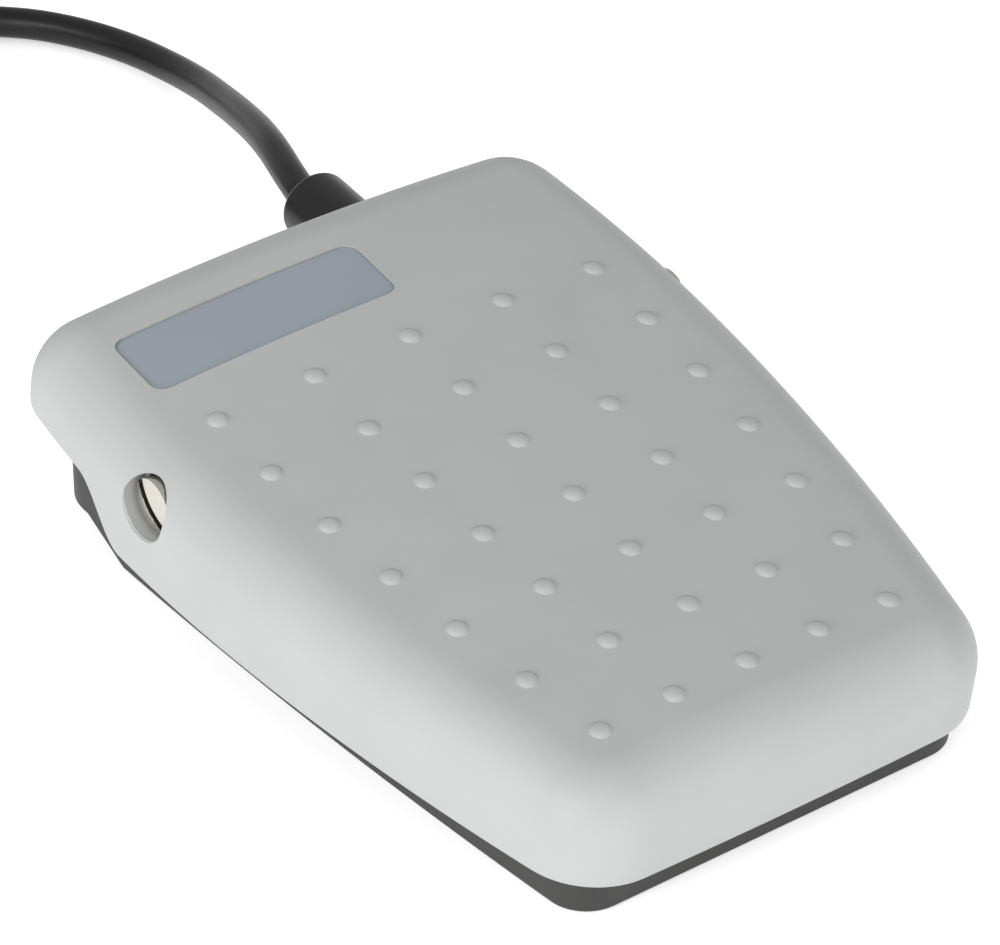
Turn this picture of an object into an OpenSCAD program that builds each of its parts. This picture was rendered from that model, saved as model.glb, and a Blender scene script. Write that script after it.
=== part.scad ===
// Foot switch: a tilted pedal cover, hinged near its back on a tray that stands on rubber feet,
// works a lever microswitch inside the tray. A light cord leaves the back through a boot.
// +Z is up, +Y points to the back where the cord leaves, +X is to the right. The origin lies on
// the floor, in the middle of the outline of the switch without its cord.

/* [Cover] */
// Length of the cover along its own top
cover_len = 144.5; // [135:0.5:160]
// Greatest width of the cover
cover_w = 110.2; // [106:0.2:120]
// How far each side comes in from the widest place to the front edge
front_narrowing = 14.5; // [12:0.1:16]
// How far each side comes in from the widest place to the back edge
back_narrowing = 3.1; // [1:0.1:5]
// Distance from the pivot's axis back to the widest place
wide_behind = 1.7; // [0:0.1:4]
// How the sides swell ahead of the widest place, as the power of the distance
cover_swell = 1.82; // [1.6:0.02:2.2]
// Swell of the front edge
front_bow = 0.6; // [0:0.1:2]
// Radius of the crown across the top
crown_r = 517; // [300:1:900]
// Rounding between the top and the sides
top_round = 10.3; // [8:0.1:10.8]
// Corner radius at the front, seen from above
cover_front_r = 13.8; // [12.5:0.1:18]
// Corner radius at the back, seen from above
cover_back_r = 11.3; // [11:0.1:16]
// Wall of the skirt
skirt_wall = 1.9; // [1.5:0.1:2]
// Wall of the top
top_wall = 2.8; // [2:0.1:3.2]
// Depth of the skirt at the front edge
skirt_front = 18.95; // [17:0.05:20]
// Depth of the skirt where it hangs lowest, round the pivot
skirt_low = 24.6; // [22:0.1:26]
// Depth of the skirt behind the step
skirt_back = 16.1; // [15:0.1:17]
// Distance from the pivot's axis back to the step of the skirt's lower edge
step_behind = 5.3; // [5:0.1:8]
// Length of that step
step_len = 13.5; // [8:0.5:18]
// Height of the skirt's front lower edge over the floor
cover_front_h = 7.75; // [7.4:0.05:8.5]
// Slope of the cover's top at rest, in degrees
cover_tilt = 8.58; // [8:0.02:9]

/* [Studs and label] */
// Diameter of a grip stud
stud_d = 3.5; // [2.5:0.1:5]
// Height of a grip stud
stud_h = 0.7; // [0.4:0.1:1.2]
// Distance between the rows of studs
stud_pitch = 15; // [13:0.1:15.5]
// Distance from the front edge to the first row
stud_first = 15.5; // [13:0.1:18]
// Rows of studs
stud_rows = 7; // [3:1:7]
// Studs in a row
stud_columns = 5; // [3:2:7]
// Distance from the side to the outer stud in the front row
stud_side_front = 15.7; // [13:0.1:18]
// Distance from the side to the outer stud in the back row
stud_side_back = 17; // [13:0.1:20]
// Length of the label's recess, across the cover
label_l = 48.2; // [40:0.1:52]
// Width of the label's recess
label_w = 14.4; // [12:0.1:16]
// Distance of the recess's middle from the cover's middle
label_x = -18.5; // [-22:0.1:-14]
// Distance of the recess's middle from the back edge
label_from_back = 21.2; // [19.5:0.1:22]
// Corner radius of the recess
label_r = 2.6; // [1:0.1:4]
// Depth of the recess
label_depth = 0.7; // [0.5:0.05:1]
// Thickness of the label
label_t = 0.3; // [0.2:0.05:0.4]

/* [Pivot] */
// Place of the pivot's axis along the cover, as a share of its length
pivot_share = 0.7045; // [0.7:0.0005:0.71]
// Depth of the pivot's axis below the top of the cover
pivot_depth = 10.44; // [10.2:0.02:11]
// Diameter of the pivot screw's head
head_d = 9.5; // [8.5:0.1:10]
// Thickness of the head at its rim
head_t = 2; // [1.5:0.1:2.4]
// Height of the head's dome over its rim
head_dome = 0.7; // [0.4:0.1:0.9]
// Diameter of the recess for the head
head_recess_d = 10.8; // [10.2:0.1:11.6]
// Depth of the recess for the head
head_recess_depth = 4.5; // [4:0.1:5]
// Width of the screw's slot
slot_w = 1.5; // [1:0.1:1.6]
// Depth of the screw's slot
slot_depth = 1.5; // [0.8:0.1:1.6]
// Slope of the screw's slot, in degrees
slot_slope = 45; // [0:1:90]
// Diameter of the screw's shoulder, on which the cover turns
shoulder_d = 5; // [4.6:0.1:5.4]
// Diameter of the screw's thread
pivot_thread_d = 4; // [3.5:0.1:4.2]
// Diameter of the boss in the cover round the pivot
pivot_boss_d = 13; // [12.5:0.1:14]
// Diameter of the ear's round top
ear_d = 10; // [9.4:0.1:10.2]
// Thickness of the ear
ear_t = 4.4; // [3.4:0.1:5]
// Width across the flats of the pivot's nut
pivot_nut_w = 7; // [6.5:0.1:7.4]
// Thickness of the pivot's nut
pivot_nut_t = 3.2; // [2.4:0.1:4]

/* [Base] */
// How far the base's front lies behind the cover's front edge
base_front_in = 6.45; // [6.4:0.05:7]
// How far the base stands out behind the cover's back edge
base_back_out = 4.8; // [4:0.1:6]
// Distance between the sides of the cover and of the base at their widest
base_side_in = 11.7; // [11:0.1:13]
// How far each side of the base comes in from its widest place to its front
base_front_narrowing = 4.6; // [4.5:0.05:6]
// How far each side of the base comes in from its widest place to its back
base_back_narrowing = 0.65; // [0:0.05:2]
// Distance from the pivot's axis back to the base's widest place
base_wide_behind = 7.65; // [5:0.05:10]
// Corner radius of the base at the front
base_front_r = 7.4; // [6.8:0.1:9]
// Corner radius of the base at the back
base_back_r = 11; // [8:0.1:13]
// Rounding of the base's lower edge
base_round = 0.8; // [0.4:0.1:1.2]
// Wall of the base
base_wall = 2.8; // [2.2:0.1:3.2]
// Thickness of the base's floor
base_floor = 3.1; // [2.8:0.1:3.4]
// How far the base's front wall reaches up inside the skirt
wall_front_up = 5.25; // [3:0.05:6]
// How far the base's back wall ends below the skirt's back edge
wall_back_down = 1.8; // [1.5:0.1:2.5]
// Diameter of a rubber foot
foot_d = 12; // [9:0.5:14]
// Thickness of a rubber foot
foot_t = 2.5; // [2:0.1:2.7]
// How far a foot stands out of the base
foot_out = 0.4; // [0.3:0.1:1]
// Distance from the base's sides to a foot's middle
foot_side = 12; // [10:0.5:16]
// Distance of the front feet's middles from the base's front
foot_front_in = 14; // [13:0.5:18]
// Distance of the back feet's middles from the base's back
foot_back_in = 31; // [30.5:0.5:34]
// Length of the raised heel under the base's back, with its slope
heel_l = 24; // [20:0.5:24]
// Length of the heel's slope
heel_slope_l = 12; // [8:0.5:14]
// How far the base's underside rises at the heel
heel_rise = 5.5; // [2:0.1:6]

/* [Springs and stops] */
// Distance of each return spring from the middle
spring_x = 22; // [20:0.5:24]
// Distance from the base's front to the springs
spring_in = 23.35; // [23:0.05:26]
// Outer diameter of a return spring
spring_d = 9; // [8.4:0.1:10]
// Diameter of the springs' wire
spring_wire = 1; // [0.8:0.1:1.2]
// Turns of a return spring
spring_turns = 6; // [5:1:7]
// Diameter of the pin inside a spring
spring_pin_d = 5.6; // [5:0.1:6]
// Height of the pin inside a spring
spring_pin_h = 3; // [2:0.1:3.5]
// Diameter of the spring's seat under the cover
spring_seat_d = 12; // [11:0.1:13]
// Depth of the spring's seat below the inside of the cover
spring_seat_depth = 2.4; // [2.2:0.1:3]
// Diameter of a rubber buffer
buffer_d = 6; // [5:0.1:6.4]
// Thickness of a rubber buffer
buffer_t = 1.8; // [1.4:0.1:2]
// Diameter of a buffer's stem
buffer_stem_d = 3; // [2.4:0.1:3.4]
// Length of a buffer's stem
buffer_stem = 3; // [2:0.1:4]
// Diameter of the post under a buffer
post_d = 8; // [7.6:0.1:8.6]
// Distance between a back buffer's post and the boot's flange
back_stop_gap = 4.4; // [3:0.1:5]
// Distance from the inside of the base's sides to the front buffers' middles
front_stop_side = 9.8; // [8:0.1:12]
// Distance from the base's front to the front buffers' middles
front_stop_in = 9.35; // [8.5:0.05:10]
// Height of the front buffers' tops over the floor
front_stop_h = 13.5; // [12.5:0.1:14]
// Greatest swing of the cover, in degrees
swing = 2.5; // [2:0.1:2.6]

/* [Microswitch] */
// Length of the microswitch
case_l = 27.8; // [27:0.1:28.6]
// Height of the microswitch
case_h = 15.9; // [15.5:0.1:16.2]
// Thickness of the microswitch
case_w = 10.3; // [10:0.1:11]
// Distance between the microswitch's mounting holes
case_hole_pitch = 22.2; // [22:0.05:22.4]
// Height of the mounting holes over the microswitch's underside
case_hole_h = 8.45; // [8.3:0.05:8.6]
// Wall of the microswitch's case
case_wall = 1.4; // [1.2:0.05:1.6]
// Length of the contact chamber
chamber_l = 16.7; // [16.4:0.1:17]
// Height of the microswitch's underside over the floor
case_z = 5; // [4.6:0.1:5.2]
// Distance from the base's front to the microswitch's front
case_in = 25.1; // [24.6:0.1:25.6]
// Distance from the microswitch's back to the lever's pin
lever_pin_in = 3.3; // [3:0.1:3.6]
// Height of the lever's pin over the microswitch's top
lever_pin_up = 1.6; // [1.55:0.05:1.8]
// Diameter of the lever's pin
lever_pin_d = 1.2; // [1:0.05:1.3]
// Thickness of the lever
lever_t = 0.6; // [0.5:0.05:0.8]
// Width of the lever
lever_w = 4.2; // [3.6:0.1:4.6]
// Distance from the lever's pin to the place that the cover presses
press_arm = 21.5; // [21:0.1:22]
// Length of the lever past the pressed place
lever_over = 2.4; // [2:0.1:3]
// Slope of the lever at rest, in degrees
lever_slope = 9.6; // [9:0.1:10]
// Distance from the lever's pin to the button
button_arm = 7.5; // [7.2:0.1:7.8]
// Diameter of the button
button_d = 3; // [2.6:0.1:3.2]
// Width of a terminal
blade_w = 4.8; // [4:0.1:5.2]
// Thickness of a terminal
blade_t = 0.6; // [0.5:0.05:0.8]
// Length of a terminal behind the case
blade_out = 8; // [7:0.1:9]
// Heights of the three terminals over the case's underside, lowest first
terminal_heights = [2.3, 6, 10.9]; // [0:0.1:15]
// Thickness of the spring strip with the moving contact
strip_t = 0.4; // [0.3:0.05:0.6]
// Diameter of a contact
contact_d = 2.4; // [2:0.1:2.8]
// Thickness of the bracket
bracket_t = 1.5; // [1.2:0.1:1.8]
// Width of the bracket's foot
bracket_foot = 11; // [10:0.5:12]
// Height of the bosses under the bracket's foot
bracket_boss_h = 3; // [2:0.1:3.4]
// Diameter of the small screws' thread
small_screw_d = 3; // [2.6:0.1:3.2]
// Diameter of the small screws' heads
small_head_d = 5.4; // [5:0.1:6]
// Height of the small screws' heads
small_head_t = 1.9; // [1.5:0.1:2.2]
// Width across the flats of the small nuts
small_nut_w = 5.5; // [5:0.1:6]
// Thickness of the small nuts
small_nut_t = 2.4; // [2:0.1:2.8]
// Length of a push-on connector
connector_l = 13; // [12:0.5:14]
// Height of a push-on connector
connector_h = 3.2; // [2.8:0.1:3.4]
// Width of a push-on connector
connector_w = 6.4; // [6:0.1:7]

/* [Cord] */
// Diameter of the cord
cord_d = 6; // [5.4:0.1:6]
// Diameter of one insulated core
core_d = 1.9; // [1.6:0.1:2]
// Distance of the cord's exit from the base's right side at the back
cord_side = 14.85; // [14:0.05:16]
// Height of the cord's exit over the floor
cord_h = 21; // [20.8:0.1:21.2]
// Diameter of the boot
boot_d = 13.2; // [12:0.1:13.4]
// Length of the boot behind the base
boot_l = 26.2; // [26.1:0.1:26.3]
// Turn of the boot to the right, in degrees
boot_turn = 5; // [4.8:0.1:5.2]
// Diameter of the boot's neck in the base's wall
neck_d = 9.6; // [9:0.1:10]
// Diameter of the boot's inner flange
flange_d = 13; // [12:0.1:13.2]
// Thickness of the boot's inner flange
flange_t = 2; // [1.5:0.1:2.5]
// Length of the cord inside, from the boot to its cut end
inner_l = 23; // [20:0.5:26]
// Least wall of the cord's clamp beside the cord and its screws
clamp_web = 1.7; // [1.4:0.1:2]
// Height of the cord's clamp over the cord
clamp_over = 4; // [3:0.1:4.5]
// Length of the clamp along the cord
clamp_l = 8; // [7:0.5:10]
// Distance from the boot's inner flange to the clamp's middle
clamp_in = 12; // [10:0.5:14]
// Radius of the coil at its outermost turn
coil_r = 40.3; // [38:0.1:44]
// Distance between neighbouring turns of the coil
coil_pitch = 6.5; // [6.45:0.05:7]
// Turns in one layer of the coil
coil_turns = 2.2; // [2:0.1:2.3]
// Layers of the coil
coil_layers = 4; // [2:2:4]
// Width of the coil's tie
tie_w = 9; // [6:0.5:12]
// Thickness of the coil's tie
tie_t = 0.9; // [0.6:0.1:0.9]
// Length of the bare cores at the cord's free end
core_out = 30; // [20:1:40]
// Length of the tinned wire at the end of each core
tinned_l = 6; // [4:0.5:10]

/* [Fits] */
// Running clearance round the shoulder, the lever's pin and the button
run = 0.06; // [0.03:0.01:0.09]
// Clearance round a part that is pushed or screwed into its place
fit = 0.1; // [0.05:0.01:0.2]
// Gap between parts that meet when they move
meet = 0.3; // [0.25:0.01:0.4]

/* [Hidden] */
$fn = 48;
pale = [0.80, 0.81, 0.80];
dark = [0.24, 0.24, 0.24];
black = [0.10, 0.10, 0.10];
nickel = [0.78, 0.76, 0.70];
brass = [0.80, 0.66, 0.36];

// Overrun of every cut past the solid that it cuts
over = 1;
// How far a piece that joins a wall reaches into it
sink = 1.4;

// The pivot's place, and the front and back of the base, along the floor
pivot_from_front = cover_len * pivot_share;
pivot_h = cover_front_h + (skirt_front - pivot_depth) * cos(cover_tilt)
    + pivot_from_front * sin(cover_tilt);
base_to_pivot = pivot_from_front - base_front_in;
front_reach = (pivot_from_front - top_round) * cos(cover_tilt)
    + (pivot_depth - top_round) * sin(cover_tilt) + top_round + front_bow;
back_reach = cover_len - pivot_from_front + base_back_out;
pivot_y = (front_reach - back_reach) / 2;
base_front = pivot_y - base_to_pivot;
base_back = pivot_y + back_reach;
base_len = base_back - base_front;
step_at = pivot_from_front + step_behind;

// An outline is a list: length, half widths at the widest place, the front and the back, place of
// the widest, power of the front swell, corner radii at the front and the back, bow of the front
cover_half = cover_w / 2;
base_half = cover_half - base_side_in;
cover_line = [cover_len, cover_half, cover_half - front_narrowing, cover_half - back_narrowing,
    pivot_from_front + wide_behind, cover_swell, cover_front_r, cover_back_r, front_bow];
base_line = [base_len, base_half, base_half - base_front_narrowing,
    base_half - base_back_narrowing, base_to_pivot + base_wide_behind, 2, base_front_r,
    base_back_r, 0];

// Half width at a distance from the front, and its slope
function half_w(o, u) = u < o[4]
    ? o[1] - (o[1] - o[2]) * pow((o[4] - u) / o[4], o[5])
    : o[1] - (o[1] - o[3]) * pow((u - o[4]) / (o[0] - o[4]), 2);
function side_slope(o, u) = u < o[4]
    ? (o[1] - o[2]) * o[5] / o[4] * pow((o[4] - u) / o[4], o[5] - 1)
    : -2 * (o[1] - o[3]) / (o[0] - o[4]) * (u - o[4]) / (o[0] - o[4]);
function outward(o, u) = let(s = side_slope(o, u), k = sqrt(1 + s * s)) [1 / k, -s / k];

// Where a corner's arc meets the side: the arc touches the end's straight line and the side
function front_touch(o, u, n) = n == 0 ? u : front_touch(o, o[6] * (1 + outward(o, u)[1]), n - 1);
function back_touch(o, u, n) = n == 0 ? u
    : back_touch(o, o[0] - o[7] + o[7] * outward(o, u)[1], n - 1);
touch_steps = 6;
arc_steps = 6;

// The right side of an outline from front to back, as places with their outward directions.
// Between the arcs it passes the marks, with as many steps to each as the counts say.
function stretch(a, b, n) = [for (i = [1:n]) a + (b - a) * i / n];
function right_side(o, marks, counts) = let(
        uf = front_touch(o, o[6], touch_steps),
        ub = back_touch(o, o[0] - o[7], touch_steps),
        nf = outward(o, uf),
        nb = outward(o, ub),
        cf = [half_w(o, uf) - o[6] * nf[0], o[6]],
        cb = [half_w(o, ub) - o[7] * nb[0], o[0] - o[7]],
        af = atan2(nf[1], nf[0]),
        ab = atan2(nb[1], nb[0]),
        stops = concat([uf], marks, [ub]),
        us = [for (k = [0:len(counts) - 1]) each stretch(stops[k], stops[k + 1], counts[k])]
    ) concat(
        [for (i = [0:arc_steps]) let(a = -90 + (af + 90) * i / arc_steps, n = [cos(a), sin(a)])
            [cf + o[6] * n, n]],
        [for (i = [0:len(us) - 2]) [[half_w(o, us[i]), us[i]], outward(o, us[i])]],
        [for (i = [0:arc_steps]) let(a = ab + (90 - ab) * i / arc_steps, n = [cos(a), sin(a)])
            [cb + o[7] * n, n]]);

// The swell of the front edge, which fades out over the front corners
function bow(o, x, u) = u < o[6] ? o[8] * (1 - pow(x / o[2], 2)) * pow(1 - u / o[6], 2) : 0;

// One closed ring of an outline, drawn in by a distance. It runs along the front from left to
// right, up the right side, along the back to the left and down the left side.
cols = 3;
function inner(s, inset) = [for (q = s) q[0] - inset * q[1]];
function front_row(q) = [for (k = [-cols:cols]) [q[0] * k / cols, q[1]]];
function ring(o, s, inset) = let(p = inner(s, inset), n = len(p)) [for (q = concat(
        front_row(p[0]),
        [for (i = [1:n - 2]) p[i]],
        [for (k = [-cols:cols]) [-p[n - 1][0] * k / cols, p[n - 1][1]]],
        [for (i = [n - 2:-1:1]) [-p[i][0], p[i][1]]])) [q[0], q[1] - bow(o, q[0], q[1])]];

// The places inside a ring, row by row, on which its cap is drawn
function inside(s, inset) = let(p = inner(s, inset), n = len(p))
    [for (i = [1:n - 2]) for (k = [1 - cols:cols - 1]) [p[i][0] * k / cols, p[i][1]]];

// Number of the place in row i and column k of a cap: on the ring at the rim, else inside it
function spot(i, k, n, start, extra) = i == 0 ? start + k
    : i == n - 1 ? start + (2 * cols + 1) + (n - 2) + (2 * cols - k)
    : k == 2 * cols ? start + 2 * cols + i
    : k == 0 ? start + 2 * (2 * cols + 1) + (n - 2) + (n - 2 - i)
    : extra + (i - 1) * (2 * cols - 1) + (k - 1);
function cap(n, start, extra, up) = [for (i = [0:n - 2]) for (k = [0:2 * cols - 1]) let(
        a = spot(i, k, n, start, extra),
        b = spot(i, k + 1, n, start, extra),
        c = spot(i + 1, k + 1, n, start, extra),
        d = spot(i + 1, k, n, start, extra))
    each up ? [[a, d, c], [a, c, b]] : [[a, c, d], [a, b, c]]];
function band(m, a, b) = [for (i = [0:m - 1]) let(j = (i + 1) % m)
    each [[a + i, a + j, b + j], [a + i, b + j, b + i]]];

// The crown's height, and the height of the skirt's lower edge, along the cover
function crown(x) = sqrt(crown_r * crown_r - x * x) - crown_r;
function skirt(u) = u < step_at ? skirt_front + (skirt_low - skirt_front) * u / step_at
    : u < step_at + step_len
    ? skirt_low + (skirt_back - skirt_low) * (1 - cos(180 * (u - step_at) / step_len)) / 2
    : skirt_back;

// The cover's rings: down its outside from the top, then up its inside
outer_steps = 6;
inner_steps = 3;
inner_round = top_round - skirt_wall;
cover_side = right_side(cover_line, [step_at, step_at + step_len], [13, 8, 2]);
cover_levels = concat(
    [for (i = [0:outer_steps]) let(a = 90 - 90 * i / outer_steps)
        [top_round * (1 - cos(a)), top_round * (1 - sin(a)), true]],
    [[0, 0, false], [skirt_wall, 0, false]],
    [for (i = [0:inner_steps]) let(a = 90 * i / inner_steps)
        [skirt_wall + inner_round * (1 - cos(a)), top_wall + inner_round * (1 - sin(a)), true]]);
function lift(q, level) = [q[0], q[1], level[2] ? crown(q[0]) - level[1] : -skirt(q[1])];

module cover_shell() {
    n = len(cover_side);
    m = 2 * (2 * cols + 1) + 2 * (n - 2);
    last = len(cover_levels) - 1;
    rings = [for (v = cover_levels) for (q = ring(cover_line, cover_side, v[0])) lift(q, v)];
    tops = [for (v = [cover_levels[0], cover_levels[last]])
        for (q = inside(cover_side, v[0])) lift(q, v)];
    extra = len(rings);
    bands = [for (k = [0:last - 1]) each band(m, k * m, (k + 1) * m)];
    polyhedron(concat(rings, tops), concat(bands, cap(n, 0, extra, true),
        cap(n, last * m, extra + len(tops) / 2, false)), convexity = 6);
}

// Puts a piece drawn in the cover's own frame where the cover stands at rest. That frame has its
// origin in the middle of the top's front edge.
module on_cover() {
    translate([0, pivot_y, pivot_h]) rotate([cover_tilt, 0, 0])
        translate([0, -pivot_from_front, pivot_depth]) children();
}
// Height over the floor of a place on the cover's middle line, at a depth below its top, straight
// above a place on the floor that lies ahead of the pivot's axis by a distance
function cover_z(ahead, deep) = pivot_h + (pivot_depth - deep) / cos(cover_tilt)
    - ahead * tan(cover_tilt);

// A rectangle with round corners, round its middle
module round_rect(l, w, r) {
    square([l - 2 * r, w], center = true);
    square([l, w - 2 * r], center = true);
    for (x = [-1, 1]) {
        for (y = [-1, 1]) translate([x * (l / 2 - r), y * (w / 2 - r)]) circle(r);
    }
}

// The label's outline between two depths below the crown, in the cover's frame
module label_slab(upper, lower, gap) {
    translate([0, cover_len, 0]) rotate([90, 0, 0]) intersection() {
        translate([0, 0, label_from_back - label_w]) difference() {
            translate([0, -crown_r]) cylinder(r = crown_r - upper, h = 2 * label_w, $fn = 96);
            translate([0, -crown_r, -over])
                cylinder(r = crown_r - lower, h = 2 * (label_w + over), $fn = 96);
        }
        translate([label_x, 0, label_from_back]) rotate([90, 0, 0])
            linear_extrude(4 * top_wall, center = true)
                round_rect(label_l - 2 * gap, label_w - 2 * gap, label_r - gap);
    }
}

// One grip stud: a low cap of a ball that stands on the crown
stud_ball = (stud_d * stud_d / 4 + stud_h * stud_h) / (2 * stud_h);
stud_root = stud_h;
module stud() {
    intersection() {
        translate([0, 0, stud_h - stud_ball]) sphere(stud_ball);
        translate([0, 0, -stud_root]) cylinder(d = stud_d, h = stud_root + stud_h);
    }
    translate([0, 0, -stud_root]) cylinder(d = stud_d, h = stud_root);
}
stud_half = (stud_columns - 1) / 2;
function stud_u(row) = stud_first + row * stud_pitch;
function stud_step(row) = (half_w(cover_line, stud_u(row)) - stud_side_front
    - (stud_side_back - stud_side_front) * row / (stud_rows - 1)) / stud_half;

// Places of the seats under the cover
spring_y = base_front + spring_in;
front_stop_y = base_front + front_stop_in;
front_stop_ahead = pivot_y - front_stop_y;
front_stop_x = half_w(base_line, front_stop_in) - base_wall - front_stop_side;
front_stop_drop = front_stop_ahead * sin(swing);
seat_z = cover_z(pivot_y - spring_y, top_wall) - spring_seat_depth;
bracket_y = base_front + case_in;
press_y = bracket_y + case_l - lever_pin_in - press_arm;
pin_y = press_y + press_arm;
case_top = case_z + case_h;
pin_z = case_top + lever_pin_up;
lever_eye_d = lever_pin_d + 2 * run + 2 * lever_t;
press_r = 2;
press_z = pin_z + press_arm * tan(lever_slope) + lever_t / 2 / cos(lever_slope) + meet
    + press_r / cos(lever_slope);
press_w = lever_w + 2 * press_r;

// The pivot screw, from the ear's face outwards
ear_x = half_w(base_line, base_to_pivot);
recess_floor = cover_w / 2 - head_recess_depth;
boss_face = ear_x + 0.8 * fit + meet;
head_face = recess_floor + meet / 2;

// Turns a piece that stands on z = 0 to lie along the pivot's axis, to the right of the middle
module along_pivot(x) {
    translate([x, pivot_y, pivot_h]) rotate([0, 90, 0]) children();
}

module pedal_cover() {
    root_share = 0.35;
    rib_h = 3.2;
    rib_t = 1.6;
    rib_x = case_w / 2 + bracket_t + press_r * 2.5;
    color(pale) difference() {
        union() {
            on_cover() cover_shell();
            on_cover() for (row = [0:stud_rows - 1]) {
                for (k = [-stud_half:stud_half]) {
                    x = k * stud_step(row);
                    translate([x, stud_u(row), crown(x)]) stud();
                }
            }
            for (side = [0, 1]) mirror([side, 0, 0]) {
                along_pivot(boss_face)
                    cylinder(d = pivot_boss_d, h = cover_w / 2 - skirt_wall / 2 - boss_face);
                translate([spring_x, spring_y, seat_z])
                    cylinder(d = spring_seat_d, h = spring_seat_depth + root_share * top_wall);
                translate([spring_x, spring_y, seat_z - spring_pin_h])
                    cylinder(d = spring_pin_d, h = spring_pin_h + over);
                translate([front_stop_x, front_stop_y, front_stop_h + front_stop_drop + meet])
                    cylinder(d = post_d, h = cover_z(front_stop_ahead, top_wall / 2)
                        - crown_drop(front_stop_x) - front_stop_h - front_stop_drop - meet);
                on_cover() translate([rib_x - rib_t / 2, cover_front_r,
                    crown(rib_x) - top_wall - rib_h])
                    cube([rib_t, step_at - cover_front_r - label_w, rib_h + top_wall / 2]);
            }
            translate([-press_w / 2, press_y, press_z]) rotate([0, 90, 0])
                cylinder(r = press_r, h = press_w);
            translate([-press_w / 2, press_y - press_r, press_z])
                cube([press_w, 2 * press_r,
                    cover_z(pivot_y - press_y, top_wall / 2) - press_z]);
        }
        for (side = [0, 1]) mirror([side, 0, 0]) {
            along_pivot(recess_floor) cylinder(d = head_recess_d, h = head_recess_depth + over);
            along_pivot(boss_face - over)
                cylinder(d = shoulder_d + 2 * run, h = recess_floor - boss_face + 2 * over);
        }
        on_cover() label_slab(-over, label_depth, 0);
    }
}
function crown_drop(x) = -crown(x);

module label_plate() {
    color([0.59, 0.62, 0.66]) on_cover() label_slab(label_depth - label_t, label_depth, fit);
}

// The shoulder screw on the right; the left one is its mirror image
module pivot_screw() {
    thread_l = ear_t + pivot_nut_t + fit;
    dome_ball = (head_d * head_d / 4 + head_dome * head_dome) / (2 * head_dome);
    along_pivot(ear_x - thread_l) cylinder(d = pivot_thread_d, h = thread_l + over);
    along_pivot(ear_x) cylinder(d = shoulder_d, h = head_face - ear_x + over);
    difference() {
        along_pivot(head_face) union() {
            cylinder(d = head_d, h = head_t);
            intersection() {
                translate([0, 0, head_t + head_dome - dome_ball]) sphere(dome_ball, $fn = 96);
                cylinder(d = head_d, h = head_t + head_dome);
            }
        }
        along_pivot(head_face + head_t + head_dome - slot_depth) rotate([0, 0, slot_slope])
            translate([-head_d, -slot_w / 2, 0]) cube([2 * head_d, slot_w, slot_depth + over]);
    }
}
module pivot_screw_right() {
    color(nickel) pivot_screw();
}
module pivot_screw_left() {
    color(nickel) mirror([1, 0, 0]) pivot_screw();
}

// A hexagon nut that stands on z = 0
module nut(w, t, bore) {
    difference() {
        cylinder(d = w / cos(30), h = t, $fn = 6);
        translate([0, 0, -over]) cylinder(d = bore, h = t + 2 * over);
    }
}
module pivot_nuts() {
    color(nickel) for (side = [0, 1]) mirror([side, 0, 0])
        along_pivot(ear_x - ear_t - pivot_nut_t)
            nut(pivot_nut_w, pivot_nut_t, pivot_thread_d + fit);
}

// The base's places
base_bottom = foot_out;
base_top = foot_out + base_floor;
heel_top = base_top + heel_rise;
base_side = right_side(base_line, [base_line[4]], [4, 3]);
back_rim_z = pivot_h + (cover_len - skirt_wall - pivot_from_front) * sin(cover_tilt)
    + (pivot_depth - skirt_back) * cos(cover_tilt);
back_stop_h = back_rim_z - meet;
wall_front_h = cover_front_h + wall_front_up;
wall_back_h = back_rim_z - wall_back_down;
base_levels = [[base_round, base_bottom], [base_round * (1 - cos(45)), base_bottom
    + base_round * (1 - sin(45))], [0, base_bottom + base_round], [0, wall_back_h + over]];
cord_x = base_line[3] - cord_side;
back_stop_x = cord_x - flange_d / 2 - back_stop_gap - post_d / 2;
clamp_y = base_back - base_wall - flange_t - clamp_in;
pedestal_top = cord_h - cord_d / 2 - fit;
clamp_screws_apart = cord_d + small_screw_d + 2 * clamp_web;
clamp_w = clamp_screws_apart + small_screw_d + 2 * clamp_web;
back_stop_y = pivot_y + (cover_len - skirt_wall / 2 - pivot_from_front) * cos(cover_tilt)
    - (pivot_depth - skirt_back) * sin(cover_tilt) - skirt_wall;
bracket_screw_x = case_w / 2 + bracket_foot * 0.6;
bracket_screw_in = case_l / 5;

// The base's outside as one solid, up to the height of its back wall
module base_block() {
    n = len(base_side);
    m = 2 * (2 * cols + 1) + 2 * (n - 2);
    last = len(base_levels) - 1;
    rings = [for (v = base_levels) for (q = ring(base_line, base_side, v[0]))
        [q[0], q[1], v[1]]];
    ends = [for (v = [base_levels[0], base_levels[last]])
        for (q = inside(base_side, v[0])) [q[0], q[1], v[1]]];
    extra = len(rings);
    bands = [for (k = [0:last - 1]) each band(m, (k + 1) * m, k * m)];
    polyhedron(concat(rings, ends), concat(bands, cap(n, 0, extra, false),
        cap(n, last * m, extra + len(ends) / 2, true)), convexity = 4);
}
module base_cavity() {
    translate([0, 0, base_top]) linear_extrude(wall_back_h)
        polygon(ring(base_line, base_side, base_wall));
}
// Everything over the walls' sloping top
module over_walls() {
    slope = atan((wall_back_h - wall_front_h) / base_len);
    translate([-base_len, 0, wall_front_h]) rotate([slope, 0, 0])
        translate([0, -base_len, 0]) cube([2 * base_len, 3 * base_len, base_len]);
}

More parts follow.
